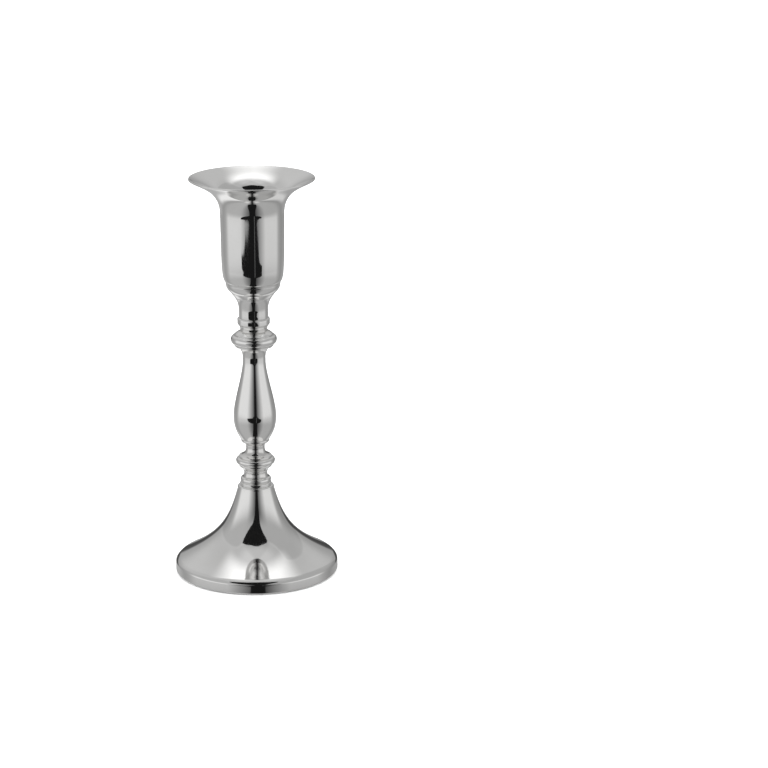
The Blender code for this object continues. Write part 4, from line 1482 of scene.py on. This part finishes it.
def cloth_glow(azimuth, elevation):
    """How bright the tent is in one direction: plain cloth, and patches of light and shade."""
    aside = abs(azimuth)
    backward = direction(azimuth, elevation).y
    above_seam = elevation - wall_top(azimuth)
    beside = soft(aside, 45, 65)
    table_behind = soft(aside, 122, 150) * (1 - 0.35 * soft(azimuth, 0, 60))
    patches = [
        (0.04, soft(-azimuth, 20, 60)),  # the left half, nearer its lamp
        (0.33, (1 - soft(abs(elevation - 3), 7, 30)) * (1 - soft(aside, 92, 112))),  # side lamps
        (0.13, soft(elevation, 64, 80)),  # the top
        (0.62, soft(backward, 0.02, 0.28) * soft(elevation, 52, 72)),  # the lit roof behind
        (0.06, soft(aside, 120, 150) * soft(elevation, 10, 25)),  # the wall behind
        (-0.12, soft(aside, 95, 130) * (1 - soft(elevation, 5, 35))),  # its shaded foot
        (0.12, table_behind * soft(-elevation, 9, 15)),  # the table's far side
        (0.44, table_behind * soft(-elevation, 27, 40)),  # the table close to the object
        (0.06, beside * soft(above_seam, -1, 1)),  # the roof over the side walls
        (0.05, beside * bump(above_seam, 0, 2.5)),  # the seam itself
    ]
    glow = CLOTH + sum(amount * share for amount, share in patches)
    table_edge_behind = soft(aside, 138, 148) * (1 - soft(abs(elevation + 2), 4, 9))
    glow *= 1 - 0.8 * table_edge_behind
    from_slit = min(max((abs(azimuth - SLIT_MIDDLE) - SLIT_HALF) / SLIT_FADE, 0), 1)
    below_roof = 1 - soft(elevation, 22, 42)
    return DARK + (glow - DARK) * (1 - below_roof * (1 - from_slit))


print(f"cloth at the side {cloth_glow(60, 0):.2f}, at the top {cloth_glow(0, 90):.2f}")


# %% The tent
def glow_material(name, attribute=None, brightness=1.0):
    material = bpy.data.materials.new(name)
    material.use_nodes = True
    tree = material.node_tree
    tree.nodes.clear()
    glow = add(tree, "ShaderNodeEmission", {"Strength": brightness})
    if attribute:
        level = add(tree, "ShaderNodeAttribute", attribute_name=attribute)
        tree.links.new(level.outputs["Fac"], glow.inputs["Strength"])
    add(tree, "ShaderNodeOutputMaterial", {"Surface": glow.outputs[0]})
    return material


def make_tent():
    form = bmesh.new()
    bmesh.ops.create_uvsphere(form, u_segments=240, v_segments=120, radius=TENT_RADIUS)
    tent = new_piece("light_tent")
    form.to_mesh(tent.data)
    form.free()
    level = tent.data.attributes.new("glow", "FLOAT", "POINT")
    for vertex, value in zip(tent.data.vertices, level.data):
        azimuth = math.degrees(math.atan2(vertex.co.x, -vertex.co.y))
        elevation = math.degrees(math.asin(vertex.co.z / TENT_RADIUS))
        value.value = cloth_glow(azimuth, elevation)
    tent.data.materials.append(glow_material("tent cloth", "glow"))
    tent.location.z = TENT_MIDDLE
    return staged(tent)


tent = make_tent()
print(f"the tent has {len(tent.data.vertices)} points")

# %% [markdown]
# ## What is dark in front
#
# The opening is cut like a curtain that hangs apart: narrow at the bottom and wide at the top, and
# its two halves aren't alike. Under it come the gap below the table's edge, dark with painted shade,
# with a grey lamp stand in it, and a painted shadow that falls on the table in front and widens
# downwards. All four are cards of one brightness each, with straight edges between a few corners,
# which is enough for the soft shapes that the curved metal shows.

# %% The cards
OPENING_DISTANCE, PAINTED_SHADOW_DISTANCE = 3.6, 3.5
TABLE_EDGE_DISTANCE, LAMP_STAND_DISTANCE = 1.2, 1.19


def card(name, corners, brightness=DARK, lift=0.0):
    """A card of one brightness, stretched between corners that are given in metres."""
    piece = new_piece(name)
    form = bmesh.new()
    form.faces.new([form.verts.new(corner) for corner in corners])
    bmesh.ops.triangulate(form, faces=form.faces)
    form.to_mesh(piece.data)
    form.free()
    piece.data.materials.append(glow_material(name, brightness=brightness))
    piece.location.z = lift
    return staged(piece)


def in_tent(angles, distance):
    """Corners from pairs of azimuth and elevation."""
    return [direction(*pair) * distance for pair in angles]


def in_front(places, distance):
    """Corners on an upright plane in front of the object, from pairs of x and z."""
    return [(x, -distance, z) for x, z in places]


# %% The tent's opening
left = [(-4, -10), (-3, 0), (-3.5, 12), (-7, 25), (-11, 30), (-15, 35), (-26, 40), (-36, 45)]
left += [(-45, 50), (-54, 55), (-62, 60), (-55, 63.5), (-48, 66), (-28, 69.2), (-10, 72)]
right = [(11, 72), (25, 69.2), (39, 66), (46, 63.5), (47, 60), (38, 55), (29, 50), (23, 45)]
right += [(18, 40), (15, 35), (14, 30), (13, 25), (9.5, 12), (9, 0), (10, -10)]
opening = card("tent_opening", in_tent(left + right, OPENING_DISTANCE), lift=TENT_MIDDLE)
print(f"{opening.name}: {len(opening.data.vertices)} corners")

# %% Painted shade under the table's edge, with the lamp stand in it
left = [(-0.15, -0.03), (-0.25, -0.115), (-0.27, -0.127), (-0.33, -0.133), (-0.42, -0.139)]
left += [(-0.56, -0.147), (-0.66, -0.17), (-0.85, -0.205), (-1.05, -0.235), (-1.05, -0.35)]
left += [(-0.75, -0.385)]
right = [(0.62, -0.39), (0.80, -0.36), (0.80, -0.27), (0.65, -0.23), (0.56, -0.205)]
right += [(0.48, -0.17), (0.45, -0.14), (0.38, -0.13), (0.34, -0.115), (0.23, -0.03)]
# painted shade: a dark card where the shade under the table's front edge lies
painted_shade_under_table_edge = card("painted_shade_under_table_edge", in_front(left + right, TABLE_EDGE_DISTANCE))
stand = [(0.14, -0.10), (0.14, -0.34), (0.18, -0.34), (0.18, -0.10)]
lamp_stand = card("lamp_stand", in_front(stand, LAMP_STAND_DISTANCE), brightness=0.11)
print(f"{painted_shade_under_table_edge.name}: {len(painted_shade_under_table_edge.data.vertices)} corners, and {lamp_stand.name}")

# %% A painted shadow on the table in front
left = [(-8, -16), (-10, -25), (-11, -36), (-14, -46), (-20, -58), (-27, -68), (-32, -76)]
right = [(32, -76), (27, -68), (20, -58), (14, -46), (12, -36), (12, -25), (10, -13)]
# painted shadow: a dark card for the shadow on the table in front, widening downwards
tent_foot = card("tent_foot", in_tent(left + right, PAINTED_SHADOW_DISTANCE), lift=TENT_MIDDLE)
print(f"{tent_foot.name}: {len(tent_foot.data.vertices)} corners")

# %% [markdown]
# ## Even light
#
# The tent is only for the mirror. Felt, fibre, cast iron and the floor are lit by an even white
# world, which gives soft shading and no hard shadows.

# %% Even light
WORLD_STRENGTH = 2.0

world = bpy.data.worlds.new("pale surroundings")
bpy.context.scene.world = world
world.use_nodes = True
background = world.node_tree.nodes["Background"]
background.inputs["Color"].default_value = (1, 1, 1, 1)
background.inputs["Strength"].default_value = WORLD_STRENGTH
print(f"the world shines with a strength of {WORLD_STRENGTH}")

# %% [markdown]
# ## Camera
#
# A long lens from more than a metre away keeps the ellipses of the foot and of the rim calm. It
# looks down a little, into the cup and onto the foot, and the object stands left of the middle.

# %% Camera
CAMERA_DISTANCE = 1.266
CAMERA_HEIGHT = 0.4524
CAMERA_PITCH = 15.74
CAMERA_HEADING = -2.90
FOCAL_LENGTH, SENSOR_WIDTH = 124.5, 36

lens = bpy.data.cameras.new("camera")
lens.lens = FOCAL_LENGTH
lens.sensor_width = SENSOR_WIDTH
camera = bpy.data.objects.new("camera", lens)
bpy.context.scene.collection.objects.link(camera)
camera.location = (0, -CAMERA_DISTANCE, CAMERA_HEIGHT)
camera.rotation_euler = (math.radians(90 - CAMERA_PITCH), 0, math.radians(CAMERA_HEADING))
bpy.context.scene.camera = camera
bpy.context.scene.view_settings.view_transform = "Standard"
print(f"the camera looks down by {CAMERA_PITCH} degrees")
